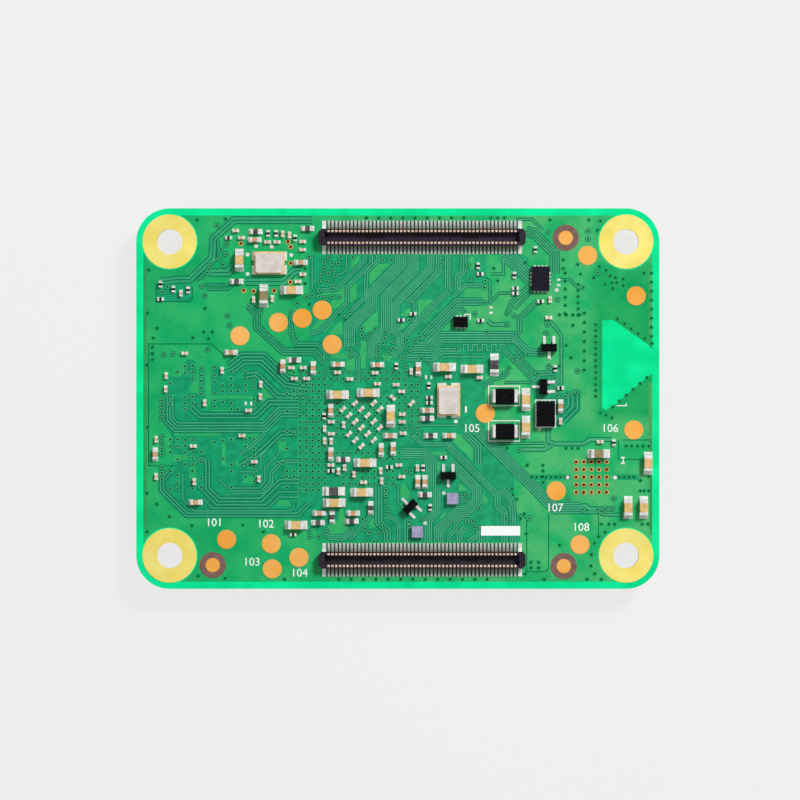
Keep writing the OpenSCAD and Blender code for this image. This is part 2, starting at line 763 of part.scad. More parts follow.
module small_ends(h)
    chip_ends(small_l, small_w, h, small_cap, small_reach);

module large_capacitor_bodies()
    color(capacitor_tan) {
        for (place = large_capacitor_places)
            on_top(place)
                large_body(large_h);
        for (place = power_capacitor_places)
            on_bottom(place)
                large_body(large_h);
    }

module large_capacitor_ends()
    color(tin) {
        for (place = large_capacitor_places)
            on_top(place)
                large_ends(large_h);
        for (place = power_capacitor_places)
            on_bottom(place)
                large_ends(large_h);
    }

module large_resistor_bodies()
    color(chip_black)
        for (place = large_resistor_places)
            on_top(place)
                large_body(large_resistor_h);

module large_resistor_ends()
    color(tin)
        for (place = large_resistor_places)
            on_top(place)
                large_ends(large_resistor_h);

module medium_capacitor_bodies()
    color(capacitor_brown) {
        for (place = medium_capacitor_places)
            on_top(place)
                medium_body(medium_h);
        for (place = bypass_places)
            on_bottom(place)
                medium_body(medium_h);
    }

module medium_capacitor_ends()
    color(tin) {
        for (place = medium_capacitor_places)
            on_top(place)
                medium_ends(medium_h);
        for (place = bypass_places)
            on_bottom(place)
                medium_ends(medium_h);
    }

module medium_resistor_bodies()
    color(chip_black)
        for (place = medium_resistor_places)
            on_top(place)
                medium_body(medium_resistor_h);

module medium_resistor_ends()
    color(tin)
        for (place = medium_resistor_places)
            on_top(place)
                medium_ends(medium_resistor_h);

module small_capacitor_bodies()
    color(capacitor_brown)
        for (place = small_capacitor_places)
            on_top(place)
                small_body(small_h);

module small_capacitor_ends()
    color(tin)
        for (place = small_capacitor_places)
            on_top(place)
                small_ends(small_h);

module small_resistor_bodies()
    color(chip_black)
        for (place = small_resistor_places)
            on_top(place)
                small_body(small_resistor_h);

module small_resistor_ends()
    color(tin)
        for (place = small_resistor_places)
            on_top(place)
                small_ends(small_resistor_h);

module crystal_bases()
    color(pale_gold)
        for (place = crystal_places)
            on_top(place)
                block(crystal_l, crystal_w, crystal_base_h, pad_t);

module crystal_lids()
    color(lid_silver)
        for (place = crystal_places)
            on_top(place)
                translate([0, 0, pad_t + crystal_base_h])
                    linear_extrude(crystal_lid_h)
                        rounded_rect(
                            crystal_l - 2 * crystal_lid_inset,
                            crystal_w - 2 * crystal_lid_inset,
                            crystal_lid_r
                        );

// Corner pads under a crystal, with solder up the ends of its base
module crystal_solder_pads()
    color(tin)
        for (place = crystal_places)
            on_top(place)
                for (turn = [0, 180])
                    for (side = [-1, 1])
                        rotate([0, 0, turn])
                            translate([0, side * (crystal_w - crystal_pad_w) / 2, 0])
                                side_view(crystal_pad_w, [
                                    [crystal_l / 2 - crystal_pad_l, 0],
                                    [crystal_l / 2 - crystal_pad_l, pad_t],
                                    [crystal_l / 2, pad_t],
                                    [crystal_l / 2, pad_t + crystal_base_h * solder_climb],
                                    [crystal_l / 2 + crystal_solder, pad_t],
                                    [crystal_l / 2 + crystal_solder, 0],
                                ]);

module inductor_cores()
    color(chip_black) {
        for (place = inductor_places)
            on_top(place)
                chip_body(inductor_l, inductor_w, inductor_h, inductor_cap);
        for (place = power_inductor_places)
            on_bottom(place)
                chip_body(inductor_l, inductor_w, inductor_h, inductor_cap);
    }

module inductor_terminals()
    color(tin) {
        for (place = inductor_places)
            on_top(place)
                chip_ends(inductor_l, inductor_terminal_w, inductor_h, inductor_cap, inductor_reach);
        for (place = power_inductor_places)
            on_bottom(place)
                chip_ends(inductor_l, inductor_terminal_w, inductor_h, inductor_cap, inductor_reach);
    }

// A row of pads along one side of a leadless chip, from the chip's middle to its side at reach
module pad_row(reach, count, pitch, width)
    for (i = [0 : count - 1])
        translate([reach + pad_show - pad_l / 2, (i - (count - 1) / 2) * pitch, 0])
            block(pad_l, width, pad_t);

// Pads along all four sides of a leadless chip
module leadless_pads(w, l, count_x, count_y, pitch, width)
    for (turn = [0, 180])
        rotate([0, 0, turn]) {
            pad_row(w / 2, count_y, pitch, width);
            rotate([0, 0, 90])
                pad_row(l / 2, count_x, pitch, width);
        }

// A moulded package on its pads or balls, with a round pin mark in its top
module package(w, l, h, seat)
    difference() {
        block(w, l, h, seat);
        translate([pin_mark_inset - w / 2, l / 2 - pin_mark_inset, seat + h - pin_mark_depth])
            cylinder(d = pin_mark_d, h = pin_mark_depth + cut);
    }

module converter_chip()
    color(chip_black)
        on_top(converter_place)
            block(converter_w, converter_l, converter_h, pad_t);

module converter_pads()
    color(tin)
        on_top(converter_place)
            leadless_pads(converter_w, converter_l, converter_pads_x, converter_pads_y, fine_pitch, fine_pad_w);

module interface_chip()
    color(chip_black)
        on_top(interface_place)
            block(interface_w, interface_l, interface_h, pad_t);

module interface_pads()
    color(tin)
        on_top(interface_place)
            leadless_pads(
                interface_w, interface_l, interface_pads_per_side, interface_pads_per_side,
                fine_pitch, fine_pad_w
            );

module logic_chip()
    color(chip_black)
        on_top(logic_place)
            block(logic_w, logic_l, logic_h, pad_t);

module logic_pads()
    color(tin)
        on_top(logic_place)
            for (turn = [90, -90])
                rotate([0, 0, turn])
                    pad_row(logic_l / 2, logic_pads_per_side, fine_pitch, fine_pad_w);

module transistor_bodies()
    color(chip_black)
        for (place = transistor_places)
            on_top(place)
                block(transistor_l, transistor_w, transistor_h, pad_t);

// A bent lead that leaves a transistor's side and reaches its pad
module transistor_lead()
    side_view(lead_w, [
        [transistor_w / 2, lead_shoulder],
        [transistor_w / 2, lead_shoulder + lead_t],
        [transistor_w / 2 + lead_shoulder_l, lead_shoulder + lead_t],
        [transistor_w / 2 + lead_shoulder_l + lead_t, lead_t],
        [lead_reach, lead_t],
        [lead_reach, 0],
        [transistor_w / 2 + lead_shoulder_l, 0],
        [transistor_w / 2 + lead_shoulder_l - lead_t, lead_shoulder],
    ]);

module transistor_leads()
    color(tin)
        for (place = transistor_places)
            on_top(place) {
                for (side = [-1, 1])
                    translate([side * lead_pitch / 2, 0, 0])
                        rotate([0, 0, 90])
                            transistor_lead();
                rotate([0, 0, -90])
                    transistor_lead();
            }

// Solder balls on a grid, drawn where keep is true for the ring that counts in from the edge
module balls(columns, rows, pitch_x, pitch_y, d, h, keep)
    for (i = [0 : columns - 1])
        for (j = [0 : rows - 1])
            if (keep(min(i, columns - 1 - i), min(j, rows - 1 - j)))
                translate([(i - (columns - 1) / 2) * pitch_x, (j - (rows - 1) / 2) * pitch_y, 0])
                    cylinder(d = d, h = h);

die_ball_share = 0.22;

module chip_scale_dies()
    color(die_lavender)
        for (place = die_places)
            on_top(place)
                block(die_side, die_side, die_h, die_ball_h);

module chip_scale_balls()
    color(tin)
        for (place = die_places)
            on_top(place)
                balls(die_balls, die_balls, die_side / die_balls, die_side / die_balls,
                    die_side * die_ball_share, die_ball_h, function (i, j) true);

module processor_balls()
    color(tin)
        on_bottom(soc_place)
            balls(soc_balls, soc_balls, soc_pitch, soc_pitch, soc_ball_d, soc_ball_h,
                function (i, j) min(i, j) < soc_outer_rings || min(i, j) >= soc_core_ring);

module processor_substrate()
    color(board_green)
        on_bottom(soc_place)
            block(soc_side, soc_side, soc_base_t, soc_ball_h);

module processor_die()
    color(chip_black)
        on_bottom(soc_place)
            block(soc_die_side, soc_die_side, soc_die_t, soc_ball_h + soc_base_t);

// A stamped lid: a foot glued to the substrate and a raised middle that rests on the die
module processor_lid() {
    raised = soc_lid_side - 2 * soc_lid_foot;
    hollow = raised - 2 * soc_wall_t;
    color(lid_silver)
        on_bottom(soc_place)
            translate([0, 0, soc_ball_h + soc_base_t])
                difference() {
                    union() {
                        linear_extrude(soc_foot_t)
                            rounded_rect(soc_lid_side, soc_lid_side, soc_lid_r);
                        linear_extrude(soc_die_t + soc_lid_t)
                            rounded_rect(raised, raised, soc_lid_r);
                    }
                    translate([0, 0, -cut])
                        linear_extrude(soc_die_t + cut)
                            square([hollow, hollow], center = true);
                }
}

module memory_balls()
    color(tin)
        on_bottom(memory_place)
            balls(memory_columns, memory_rows, memory_pitch_x, memory_pitch_y, store_ball_d, store_ball_h,
                function (i, j) i < memory_block[0] && j < memory_block[1]);

module memory_package()
    color(chip_black)
        on_bottom(memory_place)
            package(memory_w, memory_l, memory_h, store_ball_h);

module flash_balls()
    color(tin)
        on_bottom(flash_place)
            balls(flash_balls_per_side, flash_balls_per_side, flash_pitch, flash_pitch,
                store_ball_d, store_ball_h, function (i, j) min(i, j) < flash_rings);

module flash_package()
    color(chip_black)
        on_bottom(flash_place)
            package(flash_w, flash_l, flash_h, store_ball_h);

// A drawn can, open towards the board
module shield_can()
    color(lid_silver)
        on_bottom(radio_place)
            difference() {
                linear_extrude(can_h)
                    rounded_rect(can_w, can_l, can_r);
                translate([0, 0, -cut])
                    linear_extrude(can_h - can_t + cut)
                        rounded_rect(can_w - 2 * can_t, can_l - 2 * can_t, can_r - can_t);
            }

module radio_balls()
    color(tin)
        on_bottom(radio_place)
            balls(radio_balls_per_side, radio_balls_per_side, flash_pitch, flash_pitch,
                store_ball_d, store_ball_h, function (i, j) min(i, j) < radio_rings);

module radio_chip()
    color(chip_black)
        on_bottom(radio_place)
            block(radio_side, radio_side, radio_h, store_ball_h);

module network_chip()
    color(chip_black)
        on_bottom(network_place)
            package(network_side, network_side, leadless_h, pad_t);

module network_pads_tin()
    color(tin)
        on_bottom(network_place) {
            leadless_pads(network_side, network_side, network_pads, network_pads, coarse_pitch, coarse_pad_w);
            block(network_side * ground_share, network_side * ground_share, pad_t);
        }

module power_manager_chip()
    color(chip_black)
        on_bottom(manager_place)
            package(manager_side, manager_side, leadless_h, pad_t);

module power_manager_pads()
    color(tin)
        on_bottom(manager_place) {
            leadless_pads(manager_side, manager_side, manager_pads, manager_pads, coarse_pitch, coarse_pad_w);
            block(manager_side * ground_share, manager_side * ground_share, pad_t);
        }

module antenna_base()
    color(lamp_white)
        on_bottom(coax_place)
            block(coax_base, coax_base, coax_base_t);

module antenna_shell()
    color(pale_gold)
        on_bottom(coax_place)
            translate([0, 0, coax_base_t])
                difference() {
                    cylinder(d = coax_shell_d, h = coax_h - coax_base_t);
                    translate([0, 0, -cut])
                        cylinder(d = coax_shell_d - 2 * coax_shell_t, h = coax_h);
                }

module antenna_pin()
    color(pale_gold)
        on_bottom(coax_place)
            translate([0, 0, coax_base_t])
                cylinder(d = coax_pin_d, h = (coax_h - coax_base_t) / 2);

module status_lamps()
    color(lamp_white)
        for (place = lamp_places)
            on_bottom(place) {
                medium_body(medium_h);
                medium_ends(medium_resistor_h);
            }

circuit_board();
mounting_hole_plating();
test_pads();
fiducial_dots();
via_rings();
bare_pads();
connector_a_housing();
connector_a_contacts();
connector_a_hold_downs();
connector_b_housing();
connector_b_contacts();
connector_b_hold_downs();
crystal_bases();
crystal_lids();
crystal_solder_pads();
inductor_cores();
inductor_terminals();
converter_chip();
converter_pads();
interface_chip();
interface_pads();
logic_chip();
logic_pads();
transistor_bodies();
transistor_leads();
chip_scale_dies();
chip_scale_balls();
large_capacitor_bodies();
large_capacitor_ends();
large_resistor_bodies();
large_resistor_ends();
medium_capacitor_bodies();
medium_capacitor_ends();
medium_resistor_bodies();
medium_resistor_ends();
small_capacitor_bodies();
small_capacitor_ends();
small_resistor_bodies();
small_resistor_ends();
processor_substrate();
processor_die();
processor_lid();
processor_balls();
memory_package();
memory_balls();
flash_package();
flash_balls();
shield_can();
radio_chip();
radio_balls();
network_chip();
network_pads_tin();
power_manager_chip();
power_manager_pads();
antenna_base();
antenna_shell();
antenna_pin();
status_lamps();
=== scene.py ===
import itertools
import json
import math

import bmesh
import bpy
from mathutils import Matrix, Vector


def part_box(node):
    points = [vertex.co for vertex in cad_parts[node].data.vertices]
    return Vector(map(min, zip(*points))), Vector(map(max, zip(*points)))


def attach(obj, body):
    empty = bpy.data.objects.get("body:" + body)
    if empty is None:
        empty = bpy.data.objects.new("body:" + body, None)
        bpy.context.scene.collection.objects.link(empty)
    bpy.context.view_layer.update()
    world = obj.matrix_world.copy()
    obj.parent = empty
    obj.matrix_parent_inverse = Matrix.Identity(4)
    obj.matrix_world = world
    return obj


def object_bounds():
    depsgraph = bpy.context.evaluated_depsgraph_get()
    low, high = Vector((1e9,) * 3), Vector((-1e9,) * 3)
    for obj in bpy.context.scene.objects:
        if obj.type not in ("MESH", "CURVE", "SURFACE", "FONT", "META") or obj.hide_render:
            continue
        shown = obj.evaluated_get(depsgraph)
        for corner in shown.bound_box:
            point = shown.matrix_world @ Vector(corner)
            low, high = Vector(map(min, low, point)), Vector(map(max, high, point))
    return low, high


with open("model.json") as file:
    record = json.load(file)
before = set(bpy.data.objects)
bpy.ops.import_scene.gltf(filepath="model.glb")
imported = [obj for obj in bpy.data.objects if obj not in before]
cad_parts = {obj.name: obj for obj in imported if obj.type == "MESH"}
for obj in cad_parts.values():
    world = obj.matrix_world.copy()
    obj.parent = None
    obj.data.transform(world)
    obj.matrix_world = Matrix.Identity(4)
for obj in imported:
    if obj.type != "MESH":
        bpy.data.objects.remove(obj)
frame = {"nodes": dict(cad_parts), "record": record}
cad_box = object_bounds()
nodes = frame["nodes"]
scene = bpy.context.scene

# Lengths below are in millimetres, and places are (x, y) on the board as seen from above
MM = 0.001
board_low, board_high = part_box("circuit_board")
TOP_Z = board_high.z
UNDER_Z = board_low.z
HALF_L = board_high.x / MM
HALF_W = board_high.y / MM
HOLE_INSET = 3.5
HOLE_X = HALF_L - HOLE_INSET
HOLE_Y = HALF_W - HOLE_INSET
RING_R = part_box("mounting_hole_plating")[1].x / MM - HOLE_X
housing_low, housing_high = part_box("connector_a_housing")
contacts_low, contacts_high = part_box("connector_a_contacts")
CONNECTOR_Y = (housing_low.y + housing_high.y) / 2 / MM
WALL_OUT = (housing_high.y - housing_low.y) / 2 / MM
TAIL_REACH = (contacts_high.y - contacts_low.y) / 2 / MM

# Heights of the layers on a face of the board; each stays below the pads, which are 0.05 high
FIELD_H = 0.004
AREA_H = 0.007
ISLAND_H = 0.0095
RAIL_H = 0.0115
CHANNEL_H = 0.0125
GROUND_H = 0.0145
TRACE_H = 0.020
LINE_H = 0.0225
HALO_H = 0.029
OPENING_H = 0.0305
CLEARING_H = 0.031
LAND_H = 0.034
DIMPLE_H = 0.037
PRINT_H = 0.042
LEVEL_STEP = 0.0002
SINK = 0.01


def linear(red, green, blue):
    """A colour given in 0 to 255 as seen on a screen, in the linear values that shaders take."""
    def one(value):
        share = value / 255
        return share / 12.92 if share <= 0.04045 else ((share + 0.055) / 1.055) ** 2.4
    return (one(red), one(green), one(blue), 1.0)


def grey(value):
    return (value, value, value, 1.0)


# Shares of a noise texture between which its two colours or two levels run into each other
CLOUD_LOW = 0.36
CLOUD_HIGH = 0.64
NOISE_LOW = 0.3
NOISE_HIGH = 0.7
FINE_BUMP = 0.004


class Skin:
    """A material whose colour, gloss and fine bump vary over the surface."""

    def __init__(self, name, roughness, metallic=0.0, specular=0.5):
        self.material = bpy.data.materials.new(name)
        self.material.use_nodes = True
        self.nodes = self.material.node_tree.nodes
        self.links = self.material.node_tree.links
        self.shader = self.nodes["Principled BSDF"]
        self.shader.inputs["Roughness"].default_value = roughness
        self.shader.inputs["Metallic"].default_value = metallic
        self.shader.inputs["Specular IOR Level"].default_value = specular
        self.place = self.nodes.new("ShaderNodeTexCoord").outputs["Object"]

    def axis(self, vector, name):
        node = self.nodes.new("ShaderNodeSeparateXYZ")
        self.links.new(vector, node.inputs["Vector"])
        return node.outputs[name]

    def math(self, operation, first, second=None):
        node = self.nodes.new("ShaderNodeMath")
        node.operation = operation
        self.links.new(first, node.inputs[0])
        if second is not None:
            node.inputs[1].default_value = second
        return node.outputs["Value"]

    def product(self, first, *others):
        for other in others:
            node = self.nodes.new("ShaderNodeMath")
            node.operation = "MULTIPLY"
            self.links.new(first, node.inputs[0])
            self.links.new(other, node.inputs[1])
            first = node.outputs["Value"]
        return first

    def share(self, value, low, high, to_low=0.0, to_high=1.0):
        node = self.nodes.new("ShaderNodeMapRange")
        node.inputs["From Min"].default_value = low
        node.inputs["From Max"].default_value = high
        node.inputs["To Min"].default_value = to_low
        node.inputs["To Max"].default_value = to_high
        self.links.new(value, node.inputs["Value"])
        return node.outputs["Result"]

    def noise(self, size_mm, detail=3.0):
        node = self.nodes.new("ShaderNodeTexNoise")
        node.inputs["Scale"].default_value = 1 / (size_mm * MM)
        node.inputs["Detail"].default_value = detail
        self.links.new(self.place, node.inputs["Vector"])
        return node.outputs["Fac"]

    def near(self, place, reach_mm):
        """One within reach of a place on the upper face of the board, and else nothing."""
        node = self.nodes.new("ShaderNodeVectorMath")
        node.operation = "DISTANCE"
        node.inputs[1].default_value = (place[0] * MM, place[1] * MM, TOP_Z)
        self.links.new(self.place, node.inputs[0])
        return self.math("LESS_THAN", node.outputs["Value"], reach_mm * MM)

    def ramp(self, factor, low, first, high, second):
        node = self.nodes.new("ShaderNodeValToRGB")
        for element, position, colour in zip(node.color_ramp.elements, (low, high), (first, second)):
            element.position = position
            element.color = colour
        self.links.new(factor, node.inputs["Fac"])
        return node.outputs["Color"]

    def between(self, factor, first, second):
        return self.ramp(factor, CLOUD_LOW, first, CLOUD_HIGH, second)

    def mix(self, factor, first, second, blend="MIX"):
        node = self.nodes.new("ShaderNodeMix")
        node.data_type = "RGBA"
        node.blend_type = blend
        if blend == "MULTIPLY":
            node.inputs["Factor"].default_value = 1.0
        else:
            self.links.new(factor, node.inputs["Factor"])
        self.links.new(first, node.inputs[6])
        self.links.new(second, node.inputs[7])
        return node.outputs[2]

    def times(self, first, second):
        return self.mix(None, first, second, "MULTIPLY")

    def colour(self, source):
        self.links.new(source, self.shader.inputs["Base Color"])

    def two_tone(self, first, second, size_mm):
        self.colour(self.between(self.noise(size_mm), first, second))

    def gloss(self, low, high, size_mm):
        roughness = self.share(self.noise(size_mm), NOISE_LOW, NOISE_HIGH, low, high)
        self.links.new(roughness, self.shader.inputs["Roughness"])

    def bump(self, size_mm, depth_mm, strength):
        node = self.nodes.new("ShaderNodeBump")
        node.inputs["Strength"].default_value = strength
        node.inputs["Distance"].default_value = depth_mm * MM
        self.links.new(self.noise(size_mm, 4.0), node.inputs["Height"])
        self.links.new(node.outputs["Normal"], self.shader.inputs["Normal"])


MASK_ROUGHNESS = 0.34
MASK_SPECULAR = 0.16
PATCH_LOW = 0.32
PATCH_HIGH = 0.68
GRAIN_MM = 0.14
GRAIN_DARK = grey(0.93)
GRAIN_LIGHT = grey(1.05)
# The field is darker round the antenna: each pair is where that begins and where it is full
SHADE_EAST = (19.9, 21.3)
SHADE_ABOVE = (-2.6, -1.4)
SHADE_BELOW = (14.4, 13.0)


def mask_skin(name, left, right, patch_mm, patch_depth=0.1):
    """Solder mask: its green drifts across the board, in soft patches with a fine grain."""
    skin = Skin(name, MASK_ROUGHNESS, specular=MASK_SPECULAR)
    across = skin.share(skin.axis(skin.place, "X"), -HALF_L * MM, HALF_L * MM)
    tone = skin.ramp(across, 0.25, left, 0.75, right)
    finish_mask(skin, tone, patch_mm, patch_depth)
    return skin.material


def finish_mask(skin, tone, patch_mm, patch_depth):
    """Adds the soft patches, the fine grain, the gloss and the slight bump of solder mask."""
    dark = grey(1 - patch_depth)
    light = grey(1 + patch_depth)
    patches = skin.ramp(skin.noise(patch_mm, 2.0), PATCH_LOW, dark, PATCH_HIGH, light)
    grain = skin.ramp(skin.noise(GRAIN_MM, 2.0), NOISE_LOW, GRAIN_DARK, NOISE_HIGH, GRAIN_LIGHT)
    skin.colour(skin.times(skin.times(tone, patches), grain))
    skin.gloss(low=0.28, high=0.42, size_mm=1.5)
    skin.bump(size_mm=0.35, depth_mm=FINE_BUMP, strength=0.2)


def field_skin():
    """Mask over plain copper: cooler and warmer greens run into each other, darker round the antenna."""
    skin = Skin("copper_mask", MASK_ROUGHNESS, specular=MASK_SPECULAR)
    x = skin.axis(skin.place, "X")
    y = skin.axis(skin.place, "Y")
    clouds = skin.noise(2.4, 2.0)
    left = skin.between(clouds, linear(10, 166, 96), linear(42, 176, 102))
    right = skin.between(clouds, linear(26, 172, 100), linear(74, 181, 109))
    across = skin.share(x, -0.5 * HALF_L * MM, 0.5 * HALF_L * MM)
    east = skin.share(x, SHADE_EAST[0] * MM, SHADE_EAST[1] * MM)
    above = skin.share(y, SHADE_ABOVE[0] * MM, SHADE_ABOVE[1] * MM)
    below = skin.share(y, SHADE_BELOW[0] * MM, SHADE_BELOW[1] * MM)
    by_antenna = skin.between(clouds, linear(6, 158, 88), linear(34, 168, 94))
    tone = skin.mix(skin.product(east, above, below), skin.mix(across, left, right), by_antenna)
    finish_mask(skin, tone, patch_mm=5.0, patch_depth=0.05)
    return skin.material


def metal_skin(name, first, second, size_mm, roughness, metallic, bump_mm=FINE_BUMP):
    """Metal in clouds of two tones, which measure size_mm."""
    skin = Skin(name, roughness, metallic)
    skin.two_tone(first, second, size_mm)
    skin.gloss(roughness * 0.8, roughness * 1.25, size_mm * 1.7)
    skin.bump(size_mm * 0.6, bump_mm, 0.25)
    return skin.material


def body_skin(name, first, second, size_mm, roughness, specular=0.3):
    """Plastic, ceramic, ink and the like, in clouds of two tones, which measure size_mm."""
    skin = Skin(name, roughness, specular=specular)
    skin.two_tone(first, second, size_mm)
    skin.gloss(roughness * 0.85, min(1.0, roughness * 1.2), size_mm * 2)
    skin.bump(size_mm, FINE_BUMP, 0.3)
    return skin.material


def laminate_skin():
    """The bare board under its mask: bright where no copper lies, paler along its cut edge."""
    skin = Skin("laminate", 0.34, specular=0.1)
    bright = skin.ramp(skin.noise(2.5, 2.0), 0.35, linear(0, 215, 138), 0.65, linear(4, 235, 154))
    edge = skin.ramp(skin.noise(0.2), 0.35, linear(150, 205, 110), 0.65, linear(206, 228, 150))
    normal = skin.nodes.new("ShaderNodeNewGeometry").outputs["Normal"]
    upright = skin.math("ABSOLUTE", skin.axis(normal, "Z"))
    skin.colour(skin.mix(upright, edge, bright))
    skin.gloss(low=0.28, high=0.45, size_mm=1.5)
    skin.bump(size_mm=0.3, depth_mm=FINE_BUMP, strength=0.25)
    return skin.material


CROWN_FADE = 0.1


def contact_skin():
    """Gold crowns on the walls; solder has run along the tails, which are pale."""
    skin = Skin("contact_gold", 0.3, metallic=0.3)
    crown = skin.between(skin.noise(0.3), linear(226, 190, 164), linear(250, 226, 204))
    from_middle = skin.math("ABSOLUTE", skin.axis(skin.place, "Y"))
    from_middle = skin.math("SUBTRACT", from_middle, CONNECTOR_Y * MM)
    from_middle = skin.math("ABSOLUTE", from_middle)
    outside = skin.share(from_middle, (WALL_OUT - CROWN_FADE) * MM, WALL_OUT * MM)
    along_tail = skin.share(from_middle, WALL_OUT * MM, TAIL_REACH * MM)
    tail = skin.ramp(along_tail, 0.1, linear(160, 150, 138), 0.85, linear(214, 220, 213))
    skin.colour(skin.mix(outside, crown, tail))
    skin.gloss(low=0.25, high=0.4, size_mm=0.4)
    skin.bump(size_mm=0.15, depth_mm=FINE_BUMP, strength=0.25)
    return skin.material


DULL_CAPACITORS = [(-14.16, 10.85), (21.08, -5.76)]
DULL_REACH = 1.3


def capacitor_skin():
    """Tan ceramic; two of the large capacitors are of a duller make."""
    skin = Skin("tan_ceramic", 0.42, specular=0.3)
    clouds = skin.noise(0.5)
    tone = skin.between(clouds, linear(211, 172, 106), linear(227, 194, 136))
    dull = skin.between(clouds, linear(138, 122, 84), linear(156, 142, 104))
    for place in DULL_CAPACITORS:
        tone = skin.mix(skin.near(place, DULL_REACH), tone, dull)
    skin.colour(tone)
    skin.gloss(low=0.36, high=0.5, size_mm=1.0)
    skin.bump(size_mm=0.5, depth_mm=FINE_BUMP, strength=0.3)
    return skin.material


LAMINATE = laminate_skin()
FIELD = field_skin()
ROUTING = mask_skin("routing_mask", linear(16, 153, 103), linear(30, 156, 105), 0.9, 0.17)
CHANNEL = mask_skin("channel_mask", linear(0, 106, 72), linear(0, 110, 75), 2.0)
GROUND = mask_skin("ground_mask", linear(0, 128, 88), linear(2, 132, 91), 2.0)
LINE = mask_skin("line_mask", linear(72, 170, 128), linear(84, 174, 130), 0.9)
TRACE = mask_skin("trace_mask", linear(48, 163, 113), linear(64, 168, 116), 0.9)
ISLAND = mask_skin("island_mask", linear(42, 173, 99), linear(66, 179, 104), 1.2)
RAIL = mask_skin("rail_mask", linear(52, 152, 86), linear(74, 158, 90), 1.6)
HALO = mask_skin("halo_mask", linear(8, 152, 88), linear(20, 156, 90), 0.5)
LAND = mask_skin("land_mask", linear(66, 172, 114), linear(72, 174, 114), 0.5)
DIMPLE = body_skin("via_dimple", linear(6, 46, 30), linear(14, 74, 48), 0.1, 0.5, 0.1)
# Dark green of the tail openings: partly the colour of the bare mask opening, partly painted shade for the
# shadow that falls between the connector tails
OPENING_PAINTED_SHADE = body_skin("mask_opening_painted_shade", linear(10, 62, 48), linear(24, 92, 70), 0.3, 0.5, 0.15)
WINDOW = body_skin("bare_laminate", linear(112, 82, 76), linear(128, 96, 88), 0.6, 0.55)
# Open via bores: flat discs whose dark brown is painted shade for the inside of the holes, over the plated
# copper's own brown
BORE_PAINTED_SHADE = body_skin("via_bore_painted_shade", linear(34, 12, 6), linear(84, 38, 16), 0.25, 0.6, 0.1)
INK = body_skin("white_ink", linear(238, 244, 240), linear(252, 253, 252), 0.2, 0.6)
GOLD = metal_skin("immersion_gold", linear(252, 171, 54), linear(254, 189, 100), 5.0, 0.42, 0.3)
PALE_GOLD = metal_skin("pale_gold", linear(252, 229, 108), linear(255, 240, 134), 2.0, 0.42, 0.3)
VIA_GOLD = metal_skin("via_gold", linear(206, 140, 70), linear(240, 188, 118), 0.6, 0.38, 0.35)
TIN = metal_skin("tin", linear(222, 222, 220), linear(254, 253, 250), 0.5, 0.3, 0.3, 0.006)
HOUSING = body_skin("connector_polymer", linear(30, 24, 36), linear(46, 38, 52), 0.4, 0.5, 0.2)
CHIP = body_skin("moulding_compound", linear(4, 4, 7), linear(15, 14, 19), 0.2, 0.55, 0.06)
VIOLET_CHIP = body_skin("violet_compound", linear(22, 19, 30), linear(36, 31, 45), 0.2, 0.55, 0.06)
PACKAGE = body_skin("package_compound", linear(26, 26, 28), linear(38, 38, 40), 0.2, 0.55, 0.2)
CORE = body_skin("ferrite", linear(4, 4, 7), linear(16, 15, 20), 0.3, 0.5, 0.07)
BROWN = body_skin("brown_ceramic", linear(188, 136, 98), linear(212, 166, 128), 0.4, 0.42)
PALE_BROWN = body_skin("pale_brown_ceramic", linear(202, 154, 120), linear(226, 190, 160), 0.4, 0.42)
BLACK = body_skin("resistor_coat", linear(8, 7, 10), linear(24, 21, 26), 0.2, 0.4, 0.15)
# Grey resistor coat: partly the coat's own dark grey, partly a painted highlight standing for the sheen on
# its overcoat
GREY_COAT_AND_SHEEN = body_skin("grey_resistor_coat_and_painted_sheen", linear(62, 59, 63), linear(96, 92, 97), 0.3, 0.4, 0.2)
LID = metal_skin("nickel_lid", linear(216, 212, 214), linear(228, 225, 227), 4.0, 0.34, 0.4, 0.002)
CRYSTAL_LID = metal_skin("crystal_lid", linear(222, 211, 205), linear(240, 230, 224), 0.8, 0.34, 0.3)
SEAL = metal_skin("gold_seal", linear(226, 184, 126), linear(246, 212, 162), 0.5, 0.38, 0.3)
SILICON = metal_skin("bare_silicon", linear(151, 147, 181), linear(174, 170, 206), 0.7, 0.34, 0.15)
LAMP = body_skin("clear_resin", linear(232, 226, 196), linear(246, 242, 222), 0.3, 0.25)
PLASTIC = body_skin("insulator", linear(222, 216, 200), linear(238, 232, 218), 0.3, 0.5)

SLOT_SKINS = {
    "board": LAMINATE,
    "gold": GOLD,
    "pale_gold": PALE_GOLD,
    "contact_gold": contact_skin(),
    "tin": TIN,
    "housing": HOUSING,
    "chip": CHIP,
    "core": CORE,
    "capacitor_tan": capacitor_skin(),
    "capacitor_brown": BROWN,
    "resistor_black": BLACK,
    "lid": LID,
    "crystal_base": SEAL,
    "silicon": SILICON,
    "lamp": LAMP,
    "antenna_plastic": PLASTIC,
}
# Nodes whose finish differs a little from the rest of their slot
NODE_SKINS = {
    "via_rings": VIA_GOLD,
    "crystal_lids": CRYSTAL_LID,
    "interface_chip": VIOLET_CHIP,
    # The resistors' grey coat carries a painted highlight of its sheen
    "large_resistor_bodies": GREY_COAT_AND_SHEEN,
    "medium_resistor_bodies": GREY_COAT_AND_SHEEN,
    "small_capacitor_bodies": PALE_BROWN,
    "memory_package": PACKAGE,
    "flash_package": PACKAGE,
    "network_chip": PACKAGE,
    "power_manager_chip": PACKAGE,
}
for row in frame["record"]["subparts"]:
    mesh = nodes[row["node"]].data
    mesh.materials.clear()
    mesh.materials.append(NODE_SKINS.get(row["node"], SLOT_SKINS[row["material_slot"]]))


WELD_REACH = 0.0002
SHARP_DEG = 40


